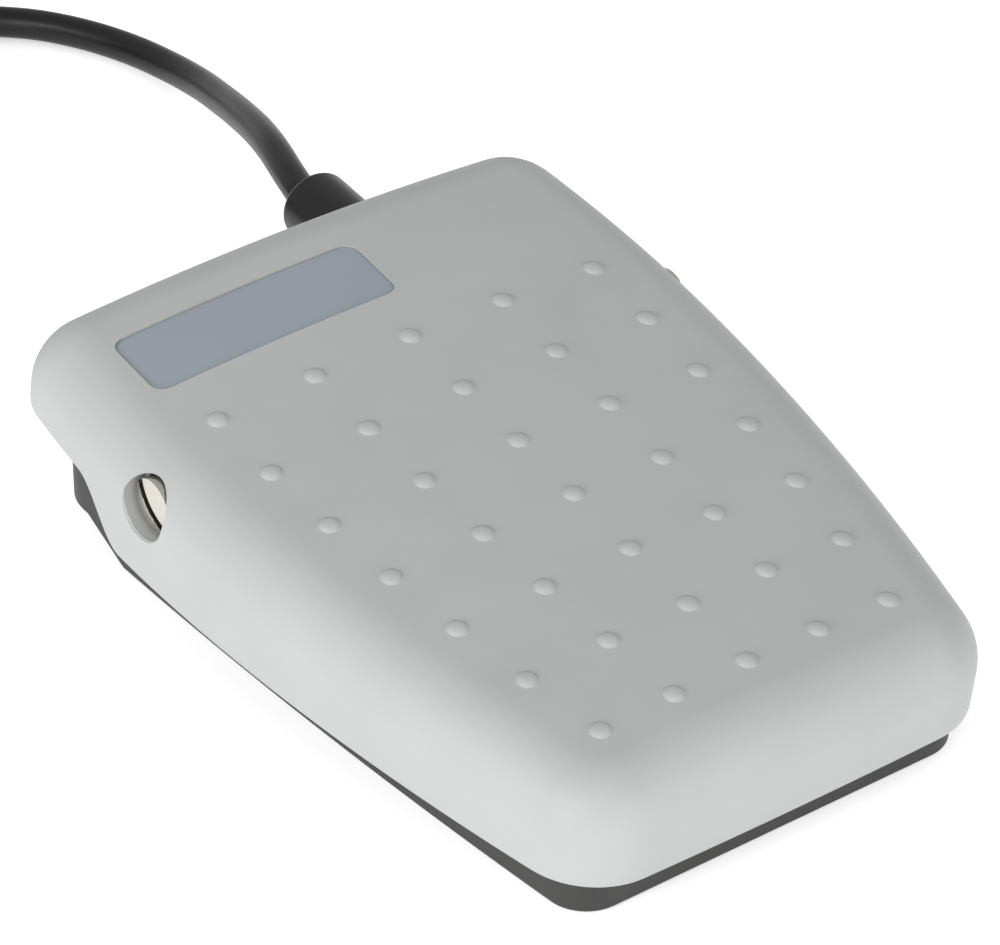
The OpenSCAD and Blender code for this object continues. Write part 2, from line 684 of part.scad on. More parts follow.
// The space under the raised heel, and the floor over it
module under_heel() {
    heel_y = base_back - heel_l;
    translate([-base_half - over, 0, 0]) rotate([90, 0, 90])
        linear_extrude(2 * (base_half + over))
            polygon([[heel_y, -over], [heel_y, base_bottom],
                [heel_y + heel_slope_l, base_bottom + heel_rise],
                [base_back + over, base_bottom + heel_rise], [base_back + over, -over]]);
}
module heel_floor() {
    intersection() {
        translate([0, base_front, base_top - sink]) linear_extrude(heel_rise + sink)
            polygon(ring(base_line, base_side, base_wall / 2));
        translate([-base_half, base_back - heel_l, 0]) cube([2 * base_half, heel_l, heel_top]);
    }
}
module base_tray() {
    pilot_d = small_screw_d + fit;
    color(dark) difference() {
        union() {
            translate([0, base_front, 0]) difference() {
                base_block();
                base_cavity();
                over_walls();
            }
            for (side = [0, 1]) mirror([side, 0, 0]) {
                along_pivot(ear_x - ear_t) cylinder(d = ear_d, h = ear_t);
                translate([ear_x - ear_t, pivot_y - ear_d / 2, base_top - sink])
                    cube([ear_t, ear_d, pivot_h - base_top + sink]);
                translate([back_stop_x, back_stop_y, base_top - sink])
                    cylinder(d = post_d, h = back_stop_h - buffer_t - base_top + sink);
                translate([front_stop_x, front_stop_y, base_top - sink])
                    cylinder(d = post_d, h = front_stop_h - buffer_t - base_top + sink);
                translate([spring_x, spring_y, base_top - sink])
                    cylinder(d = spring_pin_d, h = spring_pin_h + sink);
            }
            heel_floor();
            translate([cord_x - clamp_w / 2, clamp_y - clamp_l / 2, base_top - sink])
                cube([clamp_w, clamp_l, pedestal_top - base_top + sink]);
            for (y = [bracket_screw_in, case_l - bracket_screw_in])
                translate([-bracket_screw_x, bracket_y + y, base_top - sink])
                    cylinder(d = post_d, h = bracket_boss_h + sink);
        }
        for (side = [0, 1]) mirror([side, 0, 0]) {
            along_pivot(ear_x - ear_t - over)
                cylinder(d = pivot_thread_d + 2 * fit, h = ear_t + 2 * over);
            translate([back_stop_x, back_stop_y, back_stop_h - buffer_t - buffer_stem - fit])
                cylinder(d = buffer_stem_d + fit, h = buffer_stem + over);
            translate([front_stop_x, front_stop_y, front_stop_h - buffer_t - buffer_stem - fit])
                cylinder(d = buffer_stem_d + fit, h = buffer_stem + over);
        }
        translate([cord_x, base_back - base_wall - over, cord_h]) rotate([-90, 0, 0])
            cylinder(d = neck_d + fit, h = base_wall + 2 * over);
        translate([cord_x, base_back - base_wall - flange_t - over, cord_h])
            rotate([-90, 0, 0]) cylinder(d = flange_d + 2 * fit, h = flange_t + over);
        for (x = [-1, 1]) translate([cord_x + x * clamp_screws_apart / 2, clamp_y, heel_top])
            cylinder(d = pilot_d, h = pedestal_top - heel_top + over);
        under_heel();
        for (y = [bracket_screw_in, case_l - bracket_screw_in])
            translate([-bracket_screw_x, bracket_y + y, base_top - base_floor / 2])
                cylinder(d = pilot_d, h = base_floor / 2 + bracket_boss_h + over);
        for (q = foot_places()) translate([q[0], q[1], base_bottom - over])
            cylinder(d = foot_d + fit, h = foot_t - foot_out + over);
    }
}

// The middles of the four feet
function foot_places() = [for (y = [base_front + foot_front_in, base_back - foot_back_in])
    for (x = [-1, 1]) [x * (half_w(base_line, y - base_front) - foot_side), y]];
module rubber_feet() {
    chamfer = foot_out / 2;
    color(black) for (q = foot_places()) translate([q[0], q[1], 0]) {
        cylinder(d1 = foot_d - 2 * chamfer, d2 = foot_d, h = chamfer);
        translate([0, 0, chamfer]) cylinder(d = foot_d, h = foot_t - chamfer);
    }
}

// A rubber buffer with its stem, with the place of its top at the origin
module buffer() {
    translate([0, 0, -buffer_t]) cylinder(d = buffer_d, h = buffer_t);
    translate([0, 0, -buffer_t - buffer_stem]) cylinder(d = buffer_stem_d, h = buffer_stem + fit);
}
module stop_buffers() {
    color(black) for (x = [-1, 1]) {
        translate([x * back_stop_x, back_stop_y, back_stop_h]) buffer();
        translate([x * front_stop_x, front_stop_y, front_stop_h]) buffer();
    }
}

// A tube swept along points, each ring with one corner straight down
function unit(v) = v / norm(v);
function along(p, i) = let(n = len(p)) unit(i == 0 ? p[1] - p[0]
    : i == n - 1 ? p[n - 1] - p[n - 2] : unit(p[i + 1] - p[i]) + unit(p[i] - p[i - 1]));
function tube_ring(q, t, r, n) = let(side = unit(cross(t, [0, 0, 1])), up = cross(side, t))
    [for (k = [0:n - 1]) let(a = 360 * k / n - 90) q + r * (cos(a) * side + sin(a) * up)];
module tube(p, d, n) {
    last = len(p) - 1;
    rings = [for (i = [0:last]) each tube_ring(p[i], along(p, i), d / 2, n)];
    bands = [for (k = [0:last - 1]) each band(n, (k + 1) * n, k * n)];
    first_cap = [for (i = [1:n - 2]) [0, i, i + 1]];
    last_cap = [for (i = [1:n - 2]) [last * n, last * n + i + 1, last * n + i]];
    polyhedron(rings, concat(bands, first_cap, last_cap), convexity = 10);
}

// A return spring: closed turns at both ends, and open ones between them
spring_sides = 6;
spring_rings = 8;
spring_low = base_top + spring_wire / 2 + fit;
spring_high = seat_z - spring_wire / 2 - meet;
function spring_points() = let(n = spring_turns * spring_rings, r = (spring_d - spring_wire) / 2)
    [for (i = [0:n]) let(turn = i / spring_rings, a = 360 * turn,
        share = min(max((turn - 1) / (spring_turns - 2), 0), 1),
        end_rise = spring_wire + fit,
        rise = turn < 1 ? end_rise * turn : turn > spring_turns - 1
            ? spring_high - spring_low - end_rise * (spring_turns - turn)
            : end_rise + (spring_high - spring_low - 2 * end_rise) * share)
        [r * cos(a), r * sin(a), spring_low + rise]];
module return_spring(x) {
    color([0.62, 0.62, 0.60]) translate([x, spring_y, 0])
        tube(spring_points(), spring_wire, spring_sides);
}
module return_spring_left() {
    return_spring(-spring_x);
}
module return_spring_right() {
    return_spring(spring_x);
}

// Lays a piece drawn with z along the thickness of the microswitch: its x runs to the back from
// the case's front, its y up from the case's underside, and z = 0 is the case's left face
module on_switch() {
    translate([-case_w / 2, bracket_y, case_z]) rotate([90, 0, 90]) children();
}
chamber_x = (case_l - chamber_l) / 2;
hole_xs = [(case_l - case_hole_pitch) / 2, (case_l + case_hole_pitch) / 2];
lid_t = case_wall;
mouth_fit = fit / 2;
button_x = case_l - lever_pin_in - button_arm;
pin_x = case_l - lever_pin_in;
strip_pin_x = chamber_x + 1.2;
contact_x = case_l - chamber_x - contact_d / 2 - meet * 3;
button_travel = press_drop() * button_arm / press_arm;
strip_arm = button_x - strip_pin_x;
contact_travel = button_travel * (contact_x - strip_pin_x) / strip_arm;
function press_drop() = (pivot_y - press_y) * tan(swing);
contact_h = 0.8;
strip_y = terminal_heights[2] - blade_t / 2 - contact_h - meet - contact_h / 2 - strip_t / 2;
button_top = lever_pin_up + case_h + button_arm * tan(lever_slope)
    - lever_t / 2 / cos(lever_slope) - meet;
button_low = strip_y + strip_t / 2 + meet;

module switch_plate(t) {
    difference() {
        linear_extrude(t) square([case_l, case_h]);
        for (x = hole_xs) translate([x, case_hole_h, -over])
            cylinder(d = small_screw_d + fit, h = t + 2 * over);
    }
}
module switch_case() {
    deep = case_w - lid_t;
    lug_w = deep - (case_w + lever_w) / 2 - 3 * fit;
    lug_d = lever_pin_d + 2 * lever_t;
    color([0.16, 0.16, 0.17]) on_switch() difference() {
        union() {
            switch_plate(deep);
            for (side = [-1, 1]) translate([pin_x, 0, case_w / 2 - lug_w / 2
                + side * (lever_w / 2 + 2 * fit + lug_w / 2)]) {
                translate([0, case_h + lever_pin_up, 0]) cylinder(d = lug_d, h = lug_w);
                translate([-lug_d / 2, case_h - over, 0])
                    cube([lug_d, lever_pin_up + over, lug_w]);
            }
        }
        translate([chamber_x, case_wall, case_wall])
            cube([chamber_l, case_h - 2 * case_wall, deep]);
        translate([button_x, case_h + over, case_w / 2]) rotate([90, 0, 0])
            cylinder(d = button_d + 2 * run, h = case_wall + 2 * over);
        for (h = terminal_heights) translate([case_l - chamber_x - over,
            h - blade_t / 2 - mouth_fit, (case_w - blade_w) / 2 - mouth_fit])
            cube([chamber_x + 2 * over, blade_t + 2 * mouth_fit, blade_w + 2 * mouth_fit]);
        translate([pin_x, case_h + lever_pin_up, -over])
            cylinder(d = lever_pin_d + fit, h = case_w + 2 * over);
    }
}
module switch_lid() {
    color([0.72, 0.16, 0.12]) on_switch() translate([0, 0, case_w - lid_t]) switch_plate(lid_t);
}
module switch_button() {
    color([0.75, 0.12, 0.10]) on_switch() translate([button_x, 0, case_w / 2])
        rotate([-90, 0, 0]) translate([0, 0, button_low]) {
            cylinder(d = button_d, h = button_top - button_low - button_d / 4);
            intersection() {
                cylinder(d = button_d, h = button_top - button_low);
                translate([0, 0, button_top - button_low - button_d / 2]) sphere(d = button_d);
            }
        }
}

// The lever's strip leaves its eye above the pin, so it is drawn in its own sloping frame
module switch_lever() {
    color(nickel) on_switch() translate([pin_x, case_h + lever_pin_up, case_w / 2 - lever_w / 2])
        rotate([0, 0, -lever_slope]) difference() {
            union() {
                cylinder(d = lever_eye_d, h = lever_w);
                translate([-press_arm - lever_over, -lever_t / 2, 0])
                    cube([press_arm + lever_over, lever_t, lever_w]);
            }
            translate([0, 0, -over])
                cylinder(d = lever_pin_d + 2 * run, h = lever_w + 2 * over);
        }
}
module lever_pin() {
    pin_l = 2 * (case_w / 2 - lid_t - fit);
    color(nickel) on_switch() translate([pin_x, case_h + lever_pin_up, (case_w - pin_l) / 2])
        cylinder(d = lever_pin_d, h = pin_l);
}

// The spring strip: its front end turns on a pin held by the common terminal
strip_w = blade_w - 4 * meet;
strip_pin_d = 1;
module contact_strip() {
    color(brass) on_switch() translate([0, strip_y, case_w / 2 - strip_w / 2]) difference() {
        union() {
            translate([strip_pin_x, -strip_t / 2, 0])
                cube([contact_x + contact_d / 2 - strip_pin_x, strip_t, strip_w]);
            translate([strip_pin_x, 0, 0])
                cylinder(d = strip_pin_d + 2 * run + 2 * strip_t, h = strip_w);
            translate([contact_x, contact_h / 2 + strip_t / 2, strip_w / 2]) rotate([90, 0, 0])
                cylinder(d = contact_d, h = contact_h + strip_t);
        }
        translate([strip_pin_x, 0, -over])
            cylinder(d = strip_pin_d + 2 * run, h = strip_w + 2 * over);
    }
}

// A terminal's flat blade from a place in the chamber to its end behind the case
module blade(from, h) {
    translate([from, h - blade_t / 2, (case_w - blade_w) / 2])
        cube([case_l + blade_out - from, blade_t, blade_w]);
}
module terminal_closed() {
    h = terminal_heights[2];
    color(brass) on_switch() {
        blade(contact_x - contact_d / 2, h);
        translate([contact_x, h, case_w / 2]) rotate([90, 0, 0])
            cylinder(d = contact_d, h = blade_t / 2 + contact_h);
    }
}
module terminal_open() {
    h = terminal_heights[1];
    top = strip_y - strip_t / 2 - contact_h / 2 - contact_travel - meet;
    color(brass) on_switch() {
        blade(contact_x - contact_d / 2, h);
        translate([contact_x, top, case_w / 2]) rotate([90, 0, 0])
            cylinder(d = contact_d, h = top - h);
    }
}
module terminal_common() {
    h = terminal_heights[0];
    cheek = (blade_w - strip_w) / 2 - fit;
    front = strip_pin_x - strip_pin_d;
    color(brass) on_switch() {
        blade(front, h);
        for (z = [(case_w - blade_w) / 2, (case_w + blade_w) / 2 - cheek])
            translate([front, h, z]) cube([2 * strip_pin_d, strip_y - h + strip_pin_d, cheek]);
        translate([strip_pin_x, strip_y, (case_w - blade_w) / 2])
            cylinder(d = strip_pin_d, h = blade_w);
    }
}

module switch_screws() {
    shank = case_w + bracket_t + small_nut_t + fit;
    color(nickel) on_switch() for (x = hole_xs) translate([x, case_hole_h, case_w]) {
        translate([0, 0, -shank]) cylinder(d = small_screw_d, h = shank + small_head_t / 2);
        cylinder(d = small_head_d, h = small_head_t);
    }
}
module switch_nuts() {
    color(nickel) on_switch() for (x = hole_xs)
        translate([x, case_hole_h, -bracket_t - small_nut_t])
            nut(small_nut_w, small_nut_t, small_screw_d + fit);
}
module switch_bracket() {
    foot_z = base_top + bracket_boss_h;
    left = -case_w / 2 - bracket_t;
    color([0.66, 0.67, 0.68]) difference() {
        union() {
            translate([left, bracket_y, foot_z])
                cube([bracket_t, case_l, case_top - foot_z]);
            translate([-case_w / 2 - bracket_foot, bracket_y, foot_z])
                cube([bracket_foot, case_l, bracket_t]);
        }
        on_switch() for (x = hole_xs) translate([x, case_hole_h, -bracket_t - over])
            cylinder(d = small_screw_d + fit, h = bracket_t + 2 * over);
        for (y = [bracket_screw_in, case_l - bracket_screw_in])
            translate([-bracket_screw_x, bracket_y + y, foot_z - over])
                cylinder(d = small_screw_d + 2 * fit, h = bracket_t + 2 * over);
    }
}

// A small cross-head screw, with the place of its head's underside at the origin
module small_screw(l) {
    cross_w = small_head_d / 6;
    difference() {
        union() {
            cylinder(d = small_head_d, h = small_head_t);
            translate([0, 0, -l]) cylinder(d = small_screw_d, h = l + small_head_t / 2);
        }
        for (a = [0, 90]) rotate([0, 0, a])
            translate([-small_head_d / 3, -cross_w / 2, small_head_t / 2])
                cube([2 * small_head_d / 3, cross_w, small_head_t]);
    }
}
module bracket_screws() {
    head_z = base_top + bracket_boss_h + bracket_t;
    color(nickel) for (y = [bracket_screw_in, case_l - bracket_screw_in])
        translate([-bracket_screw_x, bracket_y + y, head_z])
            small_screw(bracket_t + bracket_boss_h + base_floor / 2 - fit);
}

// The push-on connectors behind the case, each with a slot for its blade
connector_y = bracket_y + case_l + meet;
module connectors() {
    color([0.82, 0.80, 0.72]) for (h = terminal_heights)
        translate([-connector_w / 2, connector_y, case_z + h - connector_h / 2]) difference() {
            cube([connector_w, connector_l, connector_h]);
            translate([(connector_w - blade_w) / 2 - fit, -over,
                connector_h / 2 - blade_t / 2 - fit])
                cube([blade_w + 2 * fit, blade_out - meet + fit + over, blade_t + 2 * fit]);
        }
}

// The three wires from the cord's cut end to the connectors: each leaves and arrives straight
sheath_end = base_back - base_wall - flange_t - inner_l;
core_gap = 0.5;
core_spread = (core_d + core_gap) / 2 / cos(30);
wire_steps = 16;
core_turn = 135;
function core_offset(k) = let(a = core_turn - 360 * k / 3) core_spread * [cos(a), 0, sin(a)];
function bend(a, b, c, d, t) = pow(1 - t, 3) * a + 3 * pow(1 - t, 2) * t * b
    + 3 * (1 - t) * t * t * c + t * t * t * d;
function wire_points(k, h) = let(
        a = [cord_x, sheath_end, cord_h] + core_offset(k),
        d = [0, connector_y + connector_l, case_z + h],
        pull = [0, (a[1] - d[1]) / 2, 0],
        straight = [0, core_d, 0])
    concat([a], [for (i = [0:wire_steps])
        bend(a - straight, a - straight - pull, d + straight + pull, d + straight,
            i / wire_steps)], [d]);
module wire(k, h, tint) {
    color(tint) tube(wire_points(k, h), core_d, 8);
}
module wire_common() {
    wire(2, terminal_heights[0], [0.10, 0.25, 0.60]);
}
module wire_open() {
    wire(1, terminal_heights[1], [0.38, 0.22, 0.12]);
}
module wire_closed() {
    wire(0, terminal_heights[2], [0.12, 0.12, 0.12]);
}

module inner_sheath() {
    color(black) translate([cord_x, sheath_end, cord_h]) rotate([-90, 0, 0])
        cylinder(d = cord_d, h = inner_l);
}
module cord_clamp() {
    clamp_h = cord_d / 2 + clamp_over;
    low = cord_h - cord_d / 2 + small_screw_d / 4;
    color([0.30, 0.30, 0.31]) difference() {
        translate([cord_x - clamp_w / 2, clamp_y - clamp_l / 2, low])
            cube([clamp_w, clamp_l, cord_h + clamp_h - low]);
        translate([cord_x, clamp_y - clamp_l, cord_h]) rotate([-90, 0, 0])
            cylinder(d = cord_d + fit, h = 2 * clamp_l);
        translate([cord_x - cord_d / 2 - fit / 2, clamp_y - clamp_l, low - over])
            cube([cord_d + fit, 2 * clamp_l, cord_h - low + over]);
        for (x = [-1, 1]) translate([cord_x + x * clamp_screws_apart / 2, clamp_y, low - over])
            cylinder(d = small_screw_d + 2 * fit, h = cord_h + clamp_h - low + 2 * over);
    }
}
module clamp_screws() {
    top = cord_h + cord_d / 2 + clamp_over;
    color(nickel) for (x = [-1, 1])
        translate([cord_x + x * clamp_screws_apart / 2, clamp_y, top])
            small_screw(top - heel_top - 2 * fit);
}

// The boot outside the base's wall leans to the right, and its root is cut flat on the wall
boot_way = [sin(boot_turn), cos(boot_turn), 0];
boot_end = [cord_x, base_back, cord_h] + boot_l * boot_way;
boot_round = 1.5;
module strain_relief() {
    color(black) {
        translate([cord_x, base_back, cord_h]) difference() {
            rotate([0, 0, -boot_turn]) rotate([-90, 0, 0]) {
                translate([0, 0, -boot_d]) cylinder(d = boot_d, h = boot_d + boot_l - boot_round);
                translate([0, 0, boot_l - boot_round]) rotate_extrude() intersection() {
                    translate([boot_d / 2 - boot_round, 0]) circle(boot_round);
                    square([boot_d / 2, boot_round]);
                }
                translate([0, 0, boot_l - boot_round - fit])
                    cylinder(d = boot_d - 2 * boot_round, h = boot_round + fit);
            }
            translate([-boot_d, -2 * boot_d, -boot_d]) cube(2 * boot_d);
        }
        translate([cord_x, base_back - base_wall - fit, cord_h]) rotate([-90, 0, 0])
            cylinder(d = neck_d, h = base_wall + 2 * fit);
        translate([cord_x, base_back - base_wall - flange_t, cord_h]) rotate([-90, 0, 0])
            cylinder(d = flange_d, h = flange_t);
    }
}

// The free cord: it leaves the boot, bends down to the floor and turns left to the coil. Its
// points past its straight start are given sideways and backwards from the boot's end, with a
// share of the way up from its height on the floor to the boot.
coil_z = cord_d / 2 + tie_t + meet + fit;
cord_low = cord_d / 2 + fit;
cord_route = [[1.7, 8.4, 0.995], [5.9, 20.6, 0.93], [9.5, 30.3, 0.8], [13.6, 42.2, 0.6],
    [17.7, 54.9, 0.37], [20.9, 67.5, 0.17], [21.9, 79.1, 0.045], [20.4, 89.9, 0],
    [16.5, 99.7, 0], [10.7, 108.9, 0], [3.3, 116.2, 0], [-4.7, 123.1, 0], [-13.4, 129.7, 0]];
cord_tail = [[-22.4, 135.9, 0.5], [-31.3, 141.7, 0.95], [-36.3, 144.9, 1], [-41.5, 147.9, 1]];
cord_points = concat([boot_end, boot_end + cord_d / 2 * boot_way],
    [for (q = cord_route) [boot_end[0] + q[0], boot_end[1] + q[1],
        cord_low + q[2] * (cord_h - cord_low)]],
    [for (q = cord_tail) [boot_end[0] + q[0], boot_end[1] + q[1],
        cord_low + q[2] * (coil_z - cord_low)]]);
module cord() {
    color(black) tube(cord_points, cord_d, 12);
}

// The coil: its turns spiral in and out again, and climb a layer where the spiral turns round
coil_rings = 24;
coil_start = 60;
coil_in = coil_r - coil_pitch * coil_turns;
coil_end_turn = coil_turns * coil_layers;
cord_joint = cord_points[len(cord_points) - 1];
coil_way = [cos(coil_start + 90), sin(coil_start + 90), 0];
coil_mid = cord_joint + cord_d * coil_way - coil_r * [cos(coil_start), sin(coil_start), 0];
function climb(t) = let(x = min(max(2 * t + 0.5, 0), 1)) x * x * (3 - 2 * x);
function rise(t) = total([for (k = [1:coil_layers - 1]) climb(t - k * coil_turns)]);
function coil_radius(t) = let(layer = floor(t / coil_turns), f = t - layer * coil_turns)
    layer % 2 == 0 ? coil_r - coil_pitch * f : coil_in + coil_pitch * f;
function coil_point(t) = let(a = coil_start + 360 * t)
    [coil_mid[0] + coil_radius(t) * cos(a), coil_mid[1] + coil_radius(t) * sin(a),
        coil_z + coil_pitch * rise(t)];
coil_n = round(coil_rings * coil_end_turn);
coil_spiral = [for (i = [0:coil_n]) coil_point(coil_end_turn * min(i / coil_n, 0.99999))];
coil_last = coil_spiral[coil_n];
coil_end_way = unit(coil_spiral[coil_n] - coil_spiral[coil_n - 1]);
coil_points = concat([cord_joint], coil_spiral, [coil_last + cord_d * coil_end_way]);
coil_gap = min([for (i = [0:coil_n]) for (j = [i + coil_rings / 2:1:coil_n])
    norm(coil_spiral[i] - coil_spiral[j])]) - cord_d;
function total(v) = v * [for (x = v) 1];
function length_of(p) = total([for (i = [0:len(p) - 2]) norm(p[i + 1] - p[i])]);
echo(least_gap_between_turns = coil_gap);
echo(free_cord_length = length_of(cord_points), coil_length = length_of(coil_points));
module cord_coil() {
    color(black) tube(coil_points, cord_d, 6);
}

// The tie round the coil's turns
tie_at = 200;
module coil_tie() {
    slack = meet + fit;
    w = coil_r - coil_in + cord_d + 2 * slack;
    h = coil_pitch * (coil_layers - 1) + cord_d + 2 * slack;
    color([0.30, 0.30, 0.32]) translate(coil_mid - [0, 0, coil_mid[2]]) rotate([0, 0, tie_at])
        translate([(coil_r + coil_in) / 2, tie_w / 2, tie_t + h / 2]) rotate([90, 0, 0])
            linear_extrude(tie_w) difference() {
                round_rect(w + 2 * tie_t, h + 2 * tie_t, cord_d / 2 + tie_t);
                round_rect(w, h, cord_d / 2);
            }
}

// The three cores at the free end go on beside each other in the coil's bend, and sink a little
end_point = coil_last + cord_d * coil_end_way;
end_left = unit([-coil_end_way[1], coil_end_way[0], 0]);
end_sink = (cord_d - core_d) / 2;
core_steps = 6;
function core_point(k, s) = let(side = (k - 1) * (core_d + 2 * fit),
        past = max(s - core_d, 0),
        a = past / coil_r * 180 / PI,
        share = past / (core_out - core_d),
        drop = end_sink * share * share * (3 - 2 * share),
        centre = end_point + core_d * coil_end_way + coil_r * end_left)
    s <= core_d ? end_point + s * coil_end_way - side * end_left
    : centre - (coil_r + side) * (cos(a) * end_left - sin(a) * coil_end_way) - [0, 0, drop];
function core_points(k) = concat([core_point(k, 0)], [for (i = [0:core_steps])
    core_point(k, core_d + (core_out - core_d) * i / core_steps)]);
module core_ends() {
    tints = [[0.38, 0.22, 0.12], [0.10, 0.25, 0.60], [0.12, 0.12, 0.12]];
    for (k = [0:2]) color(tints[k]) tube(core_points(k), core_d, 8);
}
module tinned_ends() {
    bare_share = 0.6;
    color([0.80, 0.80, 0.82]) for (k = [0:2]) {
        p = core_points(k);
        tip = p[len(p) - 1];
        way = unit(tip - p[len(p) - 2]);
        tube([tip, tip + tinned_l / 2 * way, tip + tinned_l * way], bare_share * core_d, 8);
    }
}

pedal_cover();
label_plate();
base_tray();
pivot_screw_left();
pivot_screw_right();
pivot_nuts();
return_spring_left();
return_spring_right();
stop_buffers();
rubber_feet();
switch_bracket();
bracket_screws();
switch_case();
switch_lid();
switch_screws();
switch_nuts();
switch_button();
switch_lever();
lever_pin();
contact_strip();
terminal_common();
terminal_open();
terminal_closed();
connectors();
wire_common();
wire_open();
wire_closed();
cord_clamp();
clamp_screws();
strain_relief();
inner_sheath();
cord();
cord_coil();
coil_tie();
core_ends();
tinned_ends();
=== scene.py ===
# %% [markdown]
# # A foot switch: dressing an exact model for a product photograph
# The exact model of the switch is loaded first. It gives every place and size, so this script only
# adds what an exact model lacks: smooth mouldings, a real cord, finishes, light and a camera.
# All lengths here are written in millimetres and become Blender's metres in one place.

# %% Load the exact model
import bpy
import bmesh
import numpy as np
from mathutils import Matrix, Vector


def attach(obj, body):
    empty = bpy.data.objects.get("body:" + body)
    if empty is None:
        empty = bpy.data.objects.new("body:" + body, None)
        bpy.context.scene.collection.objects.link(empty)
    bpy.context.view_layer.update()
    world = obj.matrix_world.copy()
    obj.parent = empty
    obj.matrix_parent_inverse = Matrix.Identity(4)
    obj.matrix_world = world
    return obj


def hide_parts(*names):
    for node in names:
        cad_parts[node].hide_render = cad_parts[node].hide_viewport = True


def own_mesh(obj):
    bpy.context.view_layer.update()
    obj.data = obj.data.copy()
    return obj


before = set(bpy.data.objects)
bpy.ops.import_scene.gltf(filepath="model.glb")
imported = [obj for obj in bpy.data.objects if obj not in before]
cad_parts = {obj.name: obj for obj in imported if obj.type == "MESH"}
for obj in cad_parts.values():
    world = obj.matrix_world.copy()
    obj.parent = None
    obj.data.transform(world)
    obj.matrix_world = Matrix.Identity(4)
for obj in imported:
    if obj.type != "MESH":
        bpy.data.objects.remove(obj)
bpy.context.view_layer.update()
MM = 0.001

# %% [markdown]
# ## The camera
# A product photograph is taken from far off with a long lens, so that parallel edges stay nearly
# parallel. Fitting the edges of the pedal to the picture gave the camera's place and its three
# directions; they go straight into the camera's matrix, which avoids any guess with angles.

# %% Place the camera
camera_data = bpy.data.cameras.new("product_camera")
camera_data.lens = 206.28
camera_data.sensor_width = 36
camera_data.clip_end = 20
camera = bpy.data.objects.new("product_camera", camera_data)
bpy.context.collection.objects.link(camera)
right = Vector((0.8025, -0.5967, 0)).normalized()
forward = Vector((0.4914, 0.6608, -0.5673)).normalized()
up = right.cross(forward)
turn = Matrix((right, up, -forward)).transposed()
camera.matrix_world = Matrix.Translation(
    Vector((-458.15, -611.78, 557.58)) * MM) @ turn.to_4x4()
bpy.context.scene.camera = camera
print("camera at", tuple(round(x, 4) for x in camera.location))

# %% [markdown]
# ## A few tools for surfaces
# Every new piece is a surface worked out as arrays: a grid of points, whose quads follow from the
# numbers of rows and columns. Joining a piece from several such grids and merging the points that
# coincide closes it, and then its faces are turned outwards.

# %% Grids of quads
def grid(rows, columns, around=False):
    """Quads of a grid that is numbered row by row; around joins each row's end to its start."""
    r = np.arange(rows - 1)[:, None] * columns
    c = np.arange(columns if around else columns - 1)[None]
    d = (c + 1) % columns
    return np.stack(np.broadcast_arrays(r + c, r + d, r + columns + d, r + columns + c),
                    -1).reshape(-1, 4)


def rim(rows, columns):
    """Numbers of the points round the edge of a grid, in one closed walk."""
    n = np.arange(rows * columns).reshape(rows, columns)
    return np.concatenate([n[0], n[1:, -1], n[-1, -2::-1], n[-2:0:-1, 0]])


def slab(low, high):
    """A closed solid between two grids of points of one size: the two grids, and a band that
    joins their edges."""
    rows, columns = low.shape[:2]
    edge = rim(rows, columns)
    n = rows * columns
    quads = grid(rows, columns)
    after = np.roll(edge, -1)
    band = np.stack([edge, after, after + n, edge + n], -1)
    points = np.concatenate([low.reshape(-1, 3), high.reshape(-1, 3)])
    return points, np.concatenate([quads[:, ::-1], quads + n, band])


# %% From arrays to a piece
def mesh_of(name, parts):
    """One mesh from pairs of points (in mm) and quads. Points that coincide are merged, which
    also closes poles and seams, and the faces are turned outwards."""
    points, faces, start = [], [], 0
    for places, quads in parts:
        points.append(places)
        faces.append(quads + start)
        start += len(places)
    mesh = bpy.data.meshes.new(name)
    mesh.from_pydata((np.concatenate(points) * MM).tolist(), [], np.concatenate(faces).tolist())
    work = bmesh.new()
    work.from_mesh(mesh)
    bmesh.ops.remove_doubles(work, verts=work.verts, dist=2e-7)
    bmesh.ops.recalc_face_normals(work, faces=work.faces)
    work.to_mesh(mesh)
    work.free()
    return mesh


def make(name, *parts):
    """An object of that name from pairs of points and quads."""
    thing = bpy.data.objects.new(name, mesh_of(name, parts))
    bpy.context.collection.objects.link(thing)
    return thing


def combine(thing, operation, *parts):
    """Joins one closed solid, made of the parts, with a piece by Blender's manifold boolean, and
    keeps the result."""
    other = make("other", *parts)
    step = thing.modifiers.new("combine", "BOOLEAN")
    step.operation, step.solver, step.object = operation, "MANIFOLD", other
    graph = bpy.context.evaluated_depsgraph_get()
    fresh = bpy.data.meshes.new_from_object(thing.evaluated_get(graph))
    thing.modifiers.clear()
    thing.data = fresh
    bpy.data.objects.remove(other)


def cut(thing, part):
    """Takes a closed solid out of a piece."""
    combine(thing, "DIFFERENCE", part)


def keep_within(thing, *parts):
    """Keeps only what lies inside the closed solid that the parts make."""
    combine(thing, "INTERSECT", *parts)


def finish(thing, material, body, slot, *nodes, crease=32):
    """Smooths a piece except over edges sharper than crease, gives it its finish, says which body
    it rides on, and hides the CAD nodes it stands for."""
    thing.data.materials.clear()
    thing.data.materials.append(material)
    thing.data.shade_smooth()
    thing.data.set_sharp_from_angle(angle=np.radians(crease))
    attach(thing, body)
    if nodes:
        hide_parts(*nodes)
    print(thing.name, len(thing.data.polygons), "faces")


# %% Turned pieces and tubes
def unit(v):
    """Vectors shortened to length 1."""
    return v / np.linalg.norm(v, axis=-1, keepdims=True)


